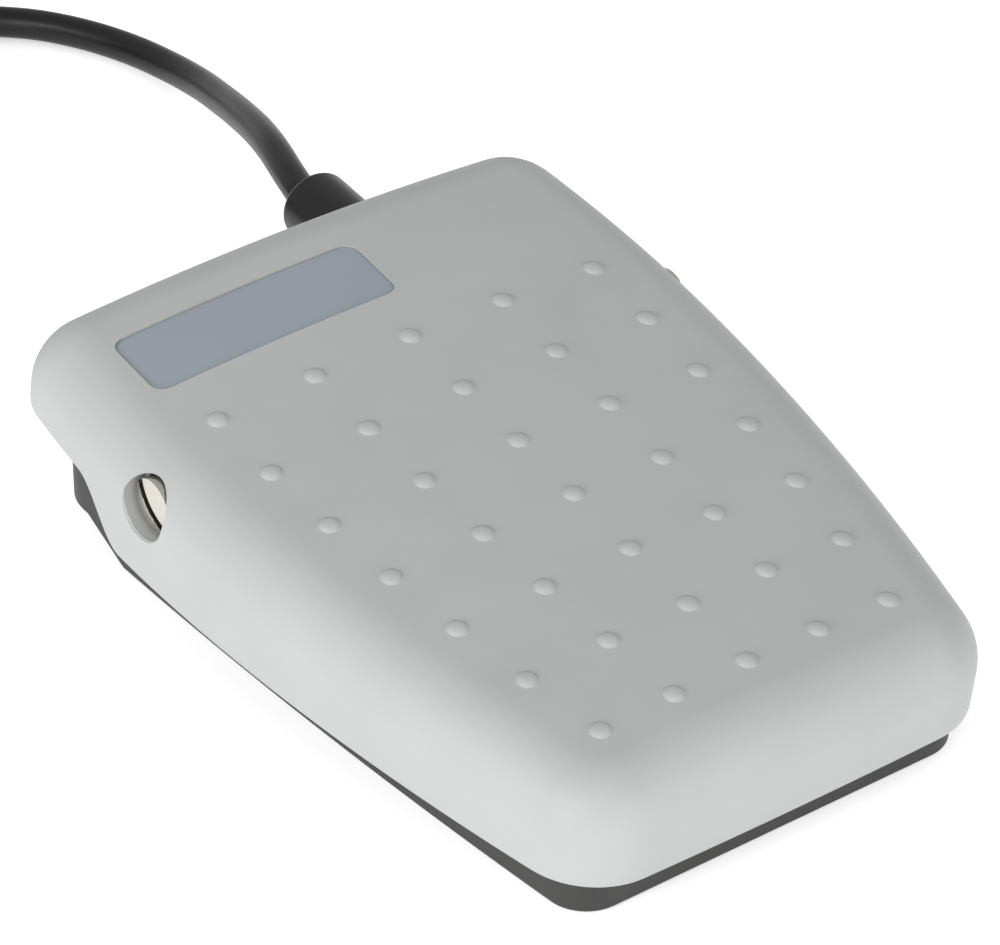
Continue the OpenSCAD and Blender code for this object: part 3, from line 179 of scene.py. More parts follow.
def turned(profile, origin, axis, sides=64):
    """A turned solid: the profile's points (radius, place along the axis) go round the axis. A
    profile that starts and ends at radius 0 is closed."""
    axis = unit(np.array(axis, float))
    side = unit(np.cross(axis, [0.3, 0.2, 0.9]))
    other = np.cross(axis, side)
    profile = np.array(profile, float)
    a = np.linspace(0, 2 * np.pi, sides, endpoint=False)
    around = np.cos(a)[:, None] * side + np.sin(a)[:, None] * other
    points = (np.array(origin, float) + profile[:, None, 1:] * axis
              + profile[:, None, :1] * around[None])
    return points.reshape(-1, 3), grid(len(profile), sides, around=True)


def arc(centre, radius, start, end, steps=8):
    """Points of a profile's rounding: an arc round a centre from one angle to another."""
    a = np.radians(np.linspace(start, end, steps + 1))
    return [(centre[0] + radius * np.cos(t), centre[1] + radius * np.sin(t)) for t in a]


def tube(path, diameter, sides=16):
    """A round tube along a path. Each ring lies square to the path, and is turned from the ring
    before it by no more than the path bends, so that the tube doesn't twist."""
    way = unit(np.gradient(path, axis=0))
    side = np.empty_like(path)
    side[0] = unit(np.cross(way[0], [0, 0, 1]))
    for i in range(1, len(path)):
        side[i] = unit(side[i - 1] - way[i] * (side[i - 1] @ way[i]))
    other = np.cross(way, side)
    a = np.linspace(0, 2 * np.pi, sides, endpoint=False)
    points = path[:, None] + diameter / 2 * (np.cos(a)[None, :, None] * side[:, None]
                                             + np.sin(a)[None, :, None] * other[:, None])
    ends = np.stack([np.broadcast_to(path[0], (sides, 3)), np.broadcast_to(path[-1], (sides, 3))])
    rings = np.concatenate([ends[:1], points, ends[1:]])
    return rings.reshape(-1, 3), grid(len(rings), sides, around=True)


# %% [markdown]
# ## The cord
# A light three-core cord, 6 mm across and about 2 m long. It leaves the boot, leans to the right
# while it sinks to the floor, and turns off to the left. The rest is wound in a flat coil of 2.2
# turns in each of four layers, just outside the picture. The route's points are those of the
# exact model; a smooth curve is laid through them, because a polygon would show its corners.

# %% The cord's route
boot_turn = np.radians(5)
boot_way = np.array([np.sin(boot_turn), np.cos(boot_turn), 0])
boot_root = np.array([27.9, 74.4484, 21])
BOOT_LENGTH, BOOT_R, BOOT_ROUND = 26.2, 6.6, 1.5
boot_end = boot_root + BOOT_LENGTH * boot_way
cord_d, cord_low, coil_z = 6, 3.1, 4.3
sideways = [0, 0.26, 1.7, 5.9, 9.5, 13.6, 17.7, 20.9, 21.9, 20.4, 16.5, 10.7, 3.3, -4.7, -13.4,
            -22.4, -31.3, -36.3, -41.5]
backwards = [0, 2.99, 8.4, 20.6, 30.3, 42.2, 54.9, 67.5, 79.1, 89.9, 99.7, 108.9, 116.2, 123.1,
             129.7, 135.9, 141.7, 144.9, 147.9]
share = np.array([1, 1, 0.995, 0.93, 0.8, 0.6, 0.37, 0.17, 0.045] + 6 * [0])
tail = np.array([0.5, 0.95, 1, 1])
heights = np.concatenate([cord_low + share * (boot_root[2] - cord_low),
                          cord_low + tail * (coil_z - cord_low)])
route = np.stack([boot_end[0] + np.array(sideways), boot_end[1] + np.array(backwards), heights], 1)


def smooth_line(points, step):
    """A smooth curve through points: between two of them it is the cubic whose slopes there are
    those of the chord past each point, with the points spaced by their distance."""
    t = np.concatenate([[0], np.cumsum(np.linalg.norm(np.diff(points, axis=0), axis=1))])
    slope = np.gradient(points, t, axis=0)
    s = np.linspace(0, t[-1], int(t[-1] / step))
    i = np.clip(np.searchsorted(t, s, side="right") - 1, 0, len(t) - 2)
    h = (t[i + 1] - t[i])[:, None]
    f = ((s - t[i]) / (t[i + 1] - t[i]))[:, None]
    return ((1 + 2 * f) * (1 - f) ** 2 * points[i] + f * (1 - f) ** 2 * h * slope[i]
            + f * f * (3 - 2 * f) * points[i + 1] + f * f * (f - 1) * h * slope[i + 1])


# %% The coil
coil_r, coil_pitch, coil_turns, coil_layers, coil_start = 40.3, 6.5, 2.2, 4, np.radians(60)
coil_way = np.array([np.cos(coil_start + np.pi / 2), np.sin(coil_start + np.pi / 2), 0])
coil_mid = route[-1] + cord_d * coil_way - coil_r * np.array(
    [np.cos(coil_start), np.sin(coil_start), 0])


def coil_line(t):
    """The coil's centre line after t turns: the radius shrinks and grows by a pitch a turn, layer
    after layer, and the height climbs a pitch in the half turn round each change of layer."""
    layer = np.minimum(np.floor(t / coil_turns), coil_layers - 1)
    done = t - layer * coil_turns
    inner = coil_r - coil_pitch * coil_turns
    r = np.where(layer % 2 == 0, coil_r - coil_pitch * done, inner + coil_pitch * done)
    x = np.clip(2 * (t[:, None] - coil_turns * np.arange(1, coil_layers)) + 0.5, 0, 1)
    rise = (x * x * (3 - 2 * x)).sum(1)
    a = coil_start + 2 * np.pi * t
    return np.stack([coil_mid[0] + r * np.cos(a), coil_mid[1] + r * np.sin(a),
                     coil_z + coil_pitch * rise], 1)


turns = np.linspace(0, coil_turns * coil_layers, 480)
wound = coil_line(turns)
end_way = unit(wound[-1] - wound[-2])
cord_path = np.concatenate([smooth_line(route, 2.5), wound, [wound[-1] + cord_d * end_way]])

# %% [markdown]
# ## Finishes
# Each finish starts from what the real material is, apart from the dark steel in the screws' slots,
# which is painted shade. One helper adds a node with its settings and links; the colours are
# written as hex, as a designer notes them, and turned to linear light.
# Patterns are scaled from real sizes: a moulded grain of 0.45 mm, drawing marks of 0.2 mm.

# %% A helper for nodes, and colours
def tint(code):
    """A hex colour as linear red, green, blue and alpha."""
    c = np.array([int(code[i:i + 2], 16) for i in (0, 2, 4)]) / 255
    c = np.where(c <= 0.04045, c / 12.92, ((c + 0.055) / 1.055) ** 2.4)
    return (*c, 1)


def add(tree, kind, settings=None, **links):
    """Adds a node. Settings are its own properties; links are its inputs by name, each a value
    or another node's output socket, with _ for a blank in the name."""
    node = tree.nodes.new(kind)
    for key, value in (settings or {}).items():
        setattr(node, key, value)
    for key, value in links.items():
        socket = node.inputs[key.replace("_", " ")]
        if isinstance(value, bpy.types.NodeSocket):
            tree.links.new(value, socket)
        else:
            socket.default_value = value
    return node


def blank(name):
    """A new material with an empty tree, its output and its object coordinates."""
    made = bpy.data.materials.new(name)
    made.use_nodes = True
    tree = made.node_tree
    tree.nodes.clear()
    return made, tree, add(tree, "ShaderNodeTexCoord").outputs["Object"]


# %% Moulded plastic
def moulded(name, colour, shade, roughness, grain=0.45, depth=0.02, level=0.5):
    """Injection-moulded plastic from a spark-eroded mould: a fine matt grain, and a faint cloudy
    change of tone. grain and depth are in millimetres."""
    made, tree, at = blank(name)
    cloud = add(tree, "ShaderNodeTexNoise", Vector=at, Scale=60, Detail=3)
    tone = add(tree, "ShaderNodeValToRGB", Fac=cloud.outputs["Fac"])
    tone.color_ramp.elements[0].position, tone.color_ramp.elements[1].position = 0.3, 0.7
    tone.color_ramp.elements[0].color, tone.color_ramp.elements[1].color = tint(shade), tint(colour)
    fine = add(tree, "ShaderNodeTexNoise", Vector=at, Scale=1000 / grain, Detail=2)
    patchy = add(tree, "ShaderNodeMapRange", Value=fine.outputs["Fac"], To_Min=roughness - 0.06,
                 To_Max=roughness + 0.06)
    bump = add(tree, "ShaderNodeBump", Height=fine.outputs["Fac"], Distance=depth * MM,
               Strength=0.8)
    shader = add(tree, "ShaderNodeBsdfPrincipled", Base_Color=tone.outputs["Color"],
                 Roughness=patchy.outputs["Result"], Normal=bump.outputs["Normal"])
    shader.inputs["IOR"].default_value = 1.5
    shader.inputs["Specular IOR Level"].default_value = level
    add(tree, "ShaderNodeOutputMaterial", Surface=shader.outputs["BSDF"])
    return made


# The cover is light grey ABS, the tray black-grey ABS; the sheath and the boot are soft PVC.
cover_abs = moulded("light_grey_abs", "A8AAA9", "A5A7A6", 0.55)
tray_abs = moulded("dark_grey_abs", "2B2B2A", "292928", 0.55)
soft_pvc = moulded("black_pvc_sheath", "10100F", "0E0E0E", 0.38, grain=0.8, depth=0.015, level=0.35)
buffer_rubber = moulded("black_rubber", "1A1A1A", "161616", 0.7, grain=0.3)
label_film = moulded("satin_polyester_film", "8C939B", "8A9199", 0.38, grain=0.2, depth=0.004)
phenolic = moulded("black_phenolic", "242426", "202022", 0.35, grain=0.3, depth=0.006)
lid_plastic = moulded("dark_red_plastic", "8E2018", "861C15", 0.4, grain=0.3, depth=0.006)
blue_pvc = moulded("blue_core_pvc", "2148A0", "1E4296", 0.4, grain=0.3, depth=0.005)
brown_pvc = moulded("brown_core_pvc", "5E3A20", "56341C", 0.4, grain=0.3, depth=0.005)
black_pvc = moulded("black_core_pvc", "1E1E1E", "1A1A1A", 0.4, grain=0.3, depth=0.005)
strap_nylon = moulded("black_nylon_strap", "232325", "1B1B1D", 0.8, grain=0.7, depth=0.08)


# %% Bare and plated metal
def metal(name, colour, shade, roughness, grain=0.2, depth=0.003):
    """Metal with a fine drawn or plated surface: bright, with small changes of sheen from a
    noise that is drawn out along one direction. grain and depth are in millimetres."""
    made, tree, at = blank(name)
    drawn = add(tree, "ShaderNodeMapping", Vector=at, Scale=(1, 1, 0.15))
    fine = add(tree, "ShaderNodeTexNoise", Vector=drawn.outputs["Vector"], Scale=1000 / grain,
               Detail=3)
    tone = add(tree, "ShaderNodeValToRGB", Fac=fine.outputs["Fac"])
    tone.color_ramp.elements[0].color, tone.color_ramp.elements[1].color = tint(shade), tint(colour)
    sheen = add(tree, "ShaderNodeMapRange", Value=fine.outputs["Fac"], To_Min=roughness - 0.08,
                To_Max=roughness + 0.08)
    bump = add(tree, "ShaderNodeBump", Height=fine.outputs["Fac"], Distance=depth * MM,
               Strength=0.5)
    shader = add(tree, "ShaderNodeBsdfPrincipled", Base_Color=tone.outputs["Color"],
                 Roughness=sheen.outputs["Result"], Normal=bump.outputs["Normal"])
    shader.inputs["Metallic"].default_value = 1
    add(tree, "ShaderNodeOutputMaterial", Surface=shader.outputs["BSDF"])
    return made


nickel_plate = metal("nickel_plated_steel", "CFCCC5", "B9B5AC", 0.3)
# A dark steel colour for the inside of the screws' slots: painted shade, darker where shade falls
# in the slot.
slot_shade_paint = metal("painted_slot_shade_steel", "6A6256", "3A342C", 0.6, grain=0.4, depth=0.02)
spring_wire = metal("bright_spring_steel", "B4B4B2", "9C9C9A", 0.3)
zinc_plate = metal("zinc_plated_sheet", "B8BABC", "A2A5A8", 0.38, grain=0.8)
contact_brass = metal("brass_strip", "D2B068", "BE9A52", 0.3)
tinned_copper = metal("tinned_copper", "C8C8CC", "A8A8AC", 0.35)

# %% [markdown]
# ## Lay the cord
# The cord is one tube along the route and the coil. The cord's own record says where it leaves
# the boot, how long it is and what hangs on its end: here three bare cores with tinned tips.

# %% Cord, cores and tie
cord = make("cord_sheath", tube(cord_path, cord_d - 0.02, 20))
finish(cord, soft_pvc, "base", "cord_rubber", "cord", "cord_coil", crease=60)
coil_end = cord_path[-1]
radius = np.linalg.norm(coil_end[:2] - coil_mid[:2])
end_left = np.array([-end_way[1], end_way[0], 0])
CORE, OUT, SINK = 1.9, 30, 2.05
swept = np.concatenate([[0], np.linspace(CORE, OUT, 24)])


def core_line(k, along):
    """A core's line past the sheath's end: one core's diameter straight on, then an arc of the
    coil's radius, while it sinks to the sheath's underside, eased by a smooth step."""
    side = (k - 1) * (CORE + 0.2)
    past = np.clip(along - CORE, 0, None)
    share = past / (OUT - CORE)
    turn = (past / radius)[:, None]
    middle = coil_end + np.minimum(along, CORE)[:, None] * end_way + radius * end_left
    line = middle - (radius + side) * (np.cos(turn) * end_left - np.sin(turn) * end_way)
    line[:, 2] -= SINK * share ** 2 * (3 - 2 * share)
    return line


def tip_line(k):
    """The tinned end goes straight on from its core."""
    tail = core_line(k, np.array([OUT - 4.0, OUT]))
    return tail[1] + np.linspace(0, 6, 4)[:, None] * unit(tail[1] - tail[0])


for k, finish_of_core in enumerate((brown_pvc, blue_pvc, black_pvc)):
    core = make("core_end_%d" % k, tube(core_line(k, swept), 1.88, 12))
    finish(core, finish_of_core, "base", "core_brown", "core_ends", crease=60)
tips = make("tinned_tips", *[tube(tip_line(k), 1.12, 10) for k in range(3)])
finish(tips, tinned_copper, "base", "tinned_copper", "tinned_ends", crease=60)

# %% [markdown]
# ## The moulded outlines
# Cover and tray share one kind of outline: the half width falls off from the widest place with a
# power of the distance, and arcs that touch side and end round the corners. A ring of the
# outline can be drawn in by a distance along its own normals, so a rounding or a wall is a stack
# of such rings. This gives the true surface; a beveled box would only look like it.

# %% The outline as functions
COVER = dict(length=144.5, wide=55.1, front=40.6, back=52.0, at=103.5, power=1.82,
             front_r=13.8, back_r=11.3, bow=0.6)
TRAY = dict(length=142.85, wide=43.4, front=38.8, back=42.75, at=103.0, power=2.0,
            front_r=7.4, back_r=11.0, bow=0.0)
TILT = np.radians(8.58)
PIVOT = np.array([0, 26.9484, 31.35])
TRAY_FRONT = PIVOT[1] - 95.35


def half_width(o, u):
    """Half the width at distance u from the front, and its slope."""
    ahead = np.clip((o["at"] - u) / o["at"], 0, None)
    behind = np.clip((u - o["at"]) / (o["length"] - o["at"]), 0, None)
    w = (o["wide"] - (o["wide"] - o["front"]) * ahead ** o["power"]
         - (o["wide"] - o["back"]) * behind ** 2)
    slope = ((o["wide"] - o["front"]) * o["power"] / o["at"] * ahead ** (o["power"] - 1)
             - 2 * (o["wide"] - o["back"]) / (o["length"] - o["at"]) * behind)
    return w, slope


def right_side(o, arc_steps, side_steps):
    """Points and outward normals from the middle of the front corner's arc to the back's. The
    arcs' ends are found by repeating: the arc that touches the side where its normal says."""
    def normal(u):
        slope = half_width(o, u)[1]
        return np.array([1, -slope]) / np.sqrt(1 + slope ** 2)
    uf, ub = o["front_r"], o["length"] - o["back_r"]
    for _ in range(8):
        uf = o["front_r"] * (1 + normal(uf)[1])
        ub = o["length"] - o["back_r"] + o["back_r"] * normal(ub)[1]
    parts = []
    for u, r, start, end in ((uf, o["front_r"], -np.pi / 2, None), (ub, o["back_r"], None,
                                                                     np.pi / 2)):
        n = normal(u)
        lean = np.arctan2(n[1], n[0])
        a = np.linspace(lean if start is None else start, lean if end is None else end,
                        arc_steps + 1)
        ray = np.stack([np.cos(a), np.sin(a)], 1)
        centre = np.array([half_width(o, u)[0], u]) - r * n
        parts.append((centre + r * ray, ray))
    us = np.linspace(uf, ub, side_steps + 1)[1:-1]
    w, slope = half_width(o, us)
    ray = np.stack([np.ones_like(us), -slope], 1) / np.sqrt(1 + slope ** 2)[:, None]
    places = np.concatenate([parts[0][0], np.stack([w, us], 1), parts[1][0]])
    return places, np.concatenate([parts[0][1], ray, parts[1][1]])


def plan(o, side, inset, columns):
    """A grid of places inside the outline drawn in by inset: one row for each point of the side,
    with columns spread evenly from left to right. The front row swells by the bow."""
    p = side[0] - inset * side[1]
    k = np.linspace(-1, 1, 2 * columns + 1)
    x = p[:, :1] * k
    u = np.broadcast_to(p[:, 1:], x.shape)
    fade = np.clip(1 - u / o["front_r"], 0, 1) ** 2
    return x, u - o["bow"] * (1 - (x / o["front"]) ** 2) * fade


# %% [markdown]
# ## The cover
# The pedal's cover is one thin moulding: a top with a slight crown, a generous rounding, a skirt
# whose lower edge steps up behind the pivot. It is made here as two nested stacks of rings, outside
# and inside, closed by a lip. Then the label's recess and the two screw recesses are cut.

# %% Heights on the cover
CROWN, TOP_ROUND, WALL, TOP_WALL, LIP_ROUND = 517.0, 10.3, 1.9, 2.8, 0.35
SKIRT_FRONT, SKIRT_MIDDLE, SKIRT_BACK = 18.95, 24.6, 16.1
STEP_AT, STEP_LENGTH = 107.1, 13.5
PIVOT_BACK, PIVOT_UNDER = 101.8, 10.44


def crown(x):
    """How far the crowned top lies below its middle line: an arc of a large circle."""
    return np.sqrt(CROWN ** 2 - x ** 2) - CROWN


def skirt(u):
    """Depth of the skirt's lower edge: a slope, a smooth step, and a level stretch."""
    step = np.clip((u - STEP_AT) / STEP_LENGTH, 0, 1)
    low = SKIRT_FRONT + (SKIRT_MIDDLE - SKIRT_FRONT) * np.minimum(u, STEP_AT) / STEP_AT
    return low + (SKIRT_BACK - SKIRT_MIDDLE) * (1 - np.cos(np.pi * step)) / 2


def on_cover(points):
    """Places drawn in the cover's own frame, moved to where the cover stands at rest: turned by
    its tilt about the pivot."""
    u, z = points[..., 1] - PIVOT_BACK, points[..., 2] + PIVOT_UNDER
    return np.stack([points[..., 0], PIVOT[1] + u * np.cos(TILT) - z * np.sin(TILT),
                     PIVOT[2] + u * np.sin(TILT) + z * np.cos(TILT)], -1)


# %% Stack the cover's rings
cover_side = right_side(COVER, 14, 110)
COLUMNS = 26


def stack(o, side, levels, height):
    """A band of rings, one for each level: the rim of the plan drawn in by the level's inset, at
    the height that the level gives."""
    rings = []
    for level in levels:
        x, u = plan(o, side, level[0], COLUMNS)
        edge = rim(*x.shape)
        x, u = x.ravel()[edge], u.ravel()[edge]
        rings.append(np.stack([x, u, height(x, u, level)], -1))
    rings = np.array(rings)
    return rings.reshape(-1, 3), grid(len(levels), rings.shape[1], around=True)


def cap(o, side, level, height):
    """The grid that closes a stack at one of its ends."""
    x, u = plan(o, side, level[0], COLUMNS)
    return np.stack([x, u, height(x, u, level)], -1).reshape(-1, 3), grid(*x.shape)


def cover_height(x, u, level):
    """A level is (inset, depth, rise, share): at share 0 the height is the depth under the crowned
    top, at share 1 the rise over the skirt's lower edge, and between them it is mixed."""
    return (1 - level[3]) * (crown(x) - level[1]) + level[3] * (level[2] - skirt(u))


quarter = np.radians(np.linspace(90, 0, 13))
outside = [(TOP_ROUND * (1 - np.cos(a)), TOP_ROUND * (1 - np.sin(a)), 0, 0) for a in quarter]
outside += [(0, TOP_ROUND, LIP_ROUND, share) for share in (0.25, 0.5, 0.75, 1)]
lip = [(LIP_ROUND - LIP_ROUND * np.cos(a), 0, LIP_ROUND - LIP_ROUND * np.sin(a), 1)
       for a in np.radians((22.5, 45, 67.5, 90))]
lip += [(WALL - LIP_ROUND + LIP_ROUND * np.cos(a), 0, LIP_ROUND - LIP_ROUND * np.sin(a), 1)
        for a in np.radians((90, 45, 0))]
INNER_ROUND = TOP_ROUND - WALL
inside = [(WALL, TOP_WALL + INNER_ROUND, LIP_ROUND, 0.5)]
inside += [(WALL + INNER_ROUND * (1 - np.cos(a)), TOP_WALL + INNER_ROUND * (1 - np.sin(a)), 0, 0)
           for a in quarter[::-2]]
levels = outside + lip + inside
shell = [stack(COVER, cover_side, levels, cover_height),
         cap(COVER, cover_side, levels[0], cover_height),
         cap(COVER, cover_side, levels[-1], cover_height)]
shell = [(on_cover(points), quads) for points, quads in shell]
cover = make("cover_moulding", *shell)
print("cover shell", len(cover.data.polygons), "faces")

# %% Cut the label's recess and the screws' recesses
LABEL_L, LABEL_W, LABEL_R = 48.2, 14.4, 2.6
LABEL_LEFT, LABEL_FROM_BACK, LABEL_DEEP = 18.5, 21.2, 0.7
MOUTH_FLOOR = 50.6


def label_plan(inset):
    """Rows and columns inside the label's rounded rectangle: at each distance from its end the
    half width follows the corner's arc."""
    l, w, r = LABEL_L / 2 - inset, LABEL_W / 2 - inset, LABEL_R - inset
    a = np.radians(np.linspace(0, 90, 9))
    x = np.concatenate([-l + r - r * np.cos(a), np.linspace(-l + r, l - r, 30)[1:-1],
                        l - r + r * np.cos(a[::-1])])
    over = np.clip(np.abs(x) - (l - r), 0, r)
    half = w - r + np.sqrt(np.maximum(r * r - over * over, 0))
    k = np.linspace(-1, 1, 13)
    return (np.broadcast_to(x[:, None], (len(x), len(k))) - LABEL_LEFT,
            half[:, None] * k + COVER["length"] - LABEL_FROM_BACK)


def label_solid(inset, low, high):
    """The rounded rectangle as a slab between two depths below the crowned top."""
    x, u = label_plan(inset)
    return [on_cover(np.stack([x, u, crown(x) - depth], -1)) for depth in (low, high)]


cut(cover, slab(*label_solid(0, LABEL_DEEP, -2)))
for side in (-1, 1):
    mouth = [(0, 0), (5.4, 0), (5.4, 4.1), (5.6, 4.4), (5.6, 6), (0, 6)]
    cut(cover, turned(mouth, [side * MOUTH_FLOOR, *PIVOT[1:]], [side, 0, 0], 96))
print("cover after the cuts", len(cover.data.polygons), "faces")

# %% [markdown]
# The 35 grip studs are low domes with a small fillet at their foot, moulded with the cover. Their
# surface is a function of the distance from the stud's middle, laid over the crowned top.

# %% Studs, and what is moulded under the cover
STUD_ROWS, STUD_COLUMNS, STUD_STEP, STUD_FIRST = 7, 5, 15, 15.5
STUD_FROM_SIDE, STUD_DRIFT = 15.7, 1.3
SPRING_X, SPRING_Y = 22, -45.0516


def studs():
    """One dome for each stud: rings round its middle, with the height falling from the top over
    a rounded shoulder to a foot just under the crown's surface."""
    row = np.arange(STUD_ROWS)
    u = STUD_FIRST + STUD_STEP * row
    outer = half_width(COVER, u)[0] - STUD_FROM_SIDE - STUD_DRIFT * row / (STUD_ROWS - 1)
    x = outer[:, None] * np.linspace(-1, 1, STUD_COLUMNS)
    mids = np.stack([x, np.broadcast_to(u[:, None], x.shape)], -1).reshape(-1, 2)
    r = np.array([0, 0.45, 0.85, 1.15, 1.4, 1.58, 1.7, 1.78, 1.9, 2.1])
    h = np.array([0.7, 0.68, 0.62, 0.53, 0.41, 0.28, 0.16, 0.08, 0.01, -0.05])
    sides = 20
    a = np.linspace(0, 2 * np.pi, sides, endpoint=False)
    ring = r[:, None, None] * np.stack([np.cos(a), np.sin(a)], -1)
    places = mids[:, None, None] + ring[None]
    x = places[..., 0]
    points = np.stack([x, places[..., 1], crown(x) + h[None, :, None]], -1)
    quads = grid(len(r), sides, around=True)
    starts = np.arange(len(mids))[:, None, None] * len(r) * sides
    return on_cover(points.reshape(-1, 3)), (quads[None] + starts).reshape(-1, 4)


def block(low, high):
    """A plain block between two corners, as a slab of two small grids."""
    x, y = np.meshgrid([low[0], high[0]], [low[1], high[1]], indexing="ij")
    return [np.stack([x, y, np.full_like(x, z, float)], -1) for z in (low[2], high[2])]


under, bosses = [], []
for side in (-1, 1):
    ring = [(2.56, 0), (6.5, 0), (6.5, 9.9), (5.42, 9.9), (5.42, 6.84), (2.56, 6.84), (2.56, 0)]
    bosses.append(turned(ring, [side * 43.76, *PIVOT[1:]], [side, 0, 0]))
    seat = [(0, -3), (2.8, -3), (2.8, 0), (6, 0), (6, 3.3), (0, 3.3)]
    under.append(turned(seat, [side * SPRING_X, SPRING_Y, 25.8132], [0, 0, 1], 32))
    pad = [(0, 0), (4, 0), (4, 9.2), (0, 9.2)]
    under.append(turned(pad, [side * 27, -59.0516, 17.5512], [0, 0, 1], 32))
    rib = block((side * 11.6 - 0.8, 13.8, -6.1), (side * 11.6 + 0.8, 92.7, -1.4))
    under.append(slab(*[on_cover(g) for g in rib]))
under.append(slab(*block((-4.1, -42.3, 28.77), (4.1, -38.3, 30.6))))
under.append(turned([(0, 0), (2, 0), (2, 8.2), (0, 8.2)], [-4.1, -40.3016, 28.7691], [1, 0, 0],
                    32))
fittings = make("cover_fittings", studs(), *under)
pivot_bosses = make("pivot_bosses", *bosses)
limit = [(inset + 0.5, depth + 0.5, 0, share) for inset, depth, _, share in outside]
form = [stack(COVER, cover_side, limit, cover_height),
        cap(COVER, cover_side, limit[0], cover_height),
        cap(COVER, cover_side, limit[-1], cover_height)]
keep_within(pivot_bosses, *[(on_cover(places), faces) for places, faces in form])
for thing in (cover, fittings, pivot_bosses):
    finish(thing, cover_abs, "pedal", "cover_plastic", "pedal_cover")

# %% [markdown]
# ## The label
# A bare film lies in the recess. It follows the crown, so it is a slab between two crowned grids.

# %% Label
label = make("label_film", slab(*label_solid(0.1, LABEL_DEEP, 0.4)))
finish(label, label_film, "pedal", "label_film", "label_plate")

# %% [markdown]
# ## The tray
# The tray is a second moulding of the same kind of outline. Its wall's upper edge lies in one
# sloping plane, low at the front and high at the back, where the boot goes through.

# %% Tray
EDGE_FRONT, EDGE_BACK, UNDERSIDE, BOTTOM_ROUND = 13, 30, 0.4, 0.8


def tray_height(x, u, level):
    """A level is (inset, height, share): share 1 lifts it to the wall's sloping upper edge."""
    edge = EDGE_FRONT + (EDGE_BACK - EDGE_FRONT) * (u / TRAY["length"])
    return (1 - level[2]) * level[1] + level[2] * (edge + level[1])


tray_side = right_side(TRAY, 14, 60)
bottom = [(BOTTOM_ROUND * (1 - np.cos(a)), UNDERSIDE + BOTTOM_ROUND * (1 - np.sin(a)), 0)
          for a in quarter[::2]]
walls = [(0, 6, 0), (0, -0.3, 1), (0.1, -0.09, 1), (0.3, 0, 1), (2.5, 0, 1), (2.7, -0.09, 1),
         (2.8, -0.3, 1), (2.8, 4, 0), (3.1, 3.6, 0), (3.4, 3.5, 0)]
levels = bottom + walls
tray = [stack(TRAY, tray_side, levels, tray_height),
        cap(TRAY, tray_side, levels[0], tray_height),
        cap(TRAY, tray_side, levels[-1], tray_height)]
tray = make("tray_moulding", *[(points + [0, TRAY_FRONT, 0], quads) for points, quads in tray])
for x, y in ((-28, -54.4), (28, -54.4), (-31.4, 43.45), (31.4, 43.45)):
    cut(tray, turned([(0, -1), (6.05, -1), (6.05, 2.5), (0, 2.5)], [x, y, 0], [0, 0, 1], 48))
cut(tray, turned([(0, -6), (4.85, -6), (4.85, 3), (0, 3)], boot_root, [0, 1, 0], 48))
HEEL, SLOPE, RISE = 50.45, 12.0, 5.5


def heel_underside(y):
    """Height of the tray's underside: flat, then a slope up to the raised heel."""
    return UNDERSIDE + RISE * np.clip((y - HEEL) / SLOPE, 0, 1)


rows = np.array([HEEL, HEEL + SLOPE, 80])
x, y = np.meshgrid([-50, 50], rows, indexing="ij")
cut(tray, slab(np.stack([x, y, np.full_like(x, -2)], -1), np.stack([x, y, heel_underside(y)], -1)))
x, u = plan(TRAY, tray_side, 1.4, 12)
x, y = x[u[:, 0] > HEEL - TRAY_FRONT], u[u[:, 0] > HEEL - TRAY_FRONT] + TRAY_FRONT
heel = slab(np.stack([x, y, heel_underside(y)], -1), np.stack([x, y, np.full_like(x, 9)], -1))

# %% What is moulded inside the tray
def post(x, y, radius, height, hole=0, depth=0):
    """A round post on the tray's floor, with a hole down from its top. Its foot lies inside the
    floor, which is higher at the heel."""
    low = 7 if y > HEEL else 2
    if not hole:
        return turned([(0, low), (radius, low), (radius, height), (0, height)], [x, y, 0],
                      [0, 0, 1], 32)
    floor = max(height - depth, 2.2)
    return turned([(0, low), (radius, low), (radius, height), (hole, height), (hole, floor),
                   (0, floor)], [x, y, 0], [0, 0, 1], 32)


inner = [heel]
for side in (-1, 1):
    ear = [(2.1, 0), (5, 0), (5, 4.4), (2.1, 4.4), (2.1, 0)]
    inner.append(turned(ear, [side * 38.98, *PIVOT[1:]], [side, 0, 0], 48))
    x0, x1 = sorted((side * 38.98, side * 43.36))
    for low, high in ((-5, -2.6), (2.6, 5)):
        inner.append(slab(*block((x0, PIVOT[1] + low, 3), (x1, PIVOT[1] + high, 31.35))))
    inner.append(slab(*block((x0, PIVOT[1] - 2.7, 3), (x1, PIVOT[1] + 2.7, 28.6))))
    inner.append(post(side * 13, 67.18, 4, 29.74, 1.55, 3.1))
    inner.append(post(side * 27, -59.05, 4, 11.7, 1.55, 3.1))
    inner.append(post(side * 22, -45.05, 2.8, 6.5))
for y in (-37.74, -21.06):
    inner.append(post(-11.75, y, 4, 6.5, 1.55, 4))
inner.append(slab(*block((16.4, 53.65, 7), (39.4, 61.65, 17.9))))
tray_inner = make("tray_fittings", *inner)
for thing in (tray, tray_inner):
    finish(thing, tray_abs, "base", "base_plastic", "base_tray")

# %% [markdown]
# ## Screws, boot and springs
# The two pivot screws are turned parts, so each is one profile that goes round an axis, with a
# slot cut across its dome. One edge of the slot is a little ragged, as a worn saw leaves it. The
# boot is turned about its own leaning axis, with a rounded end where the cord comes out.

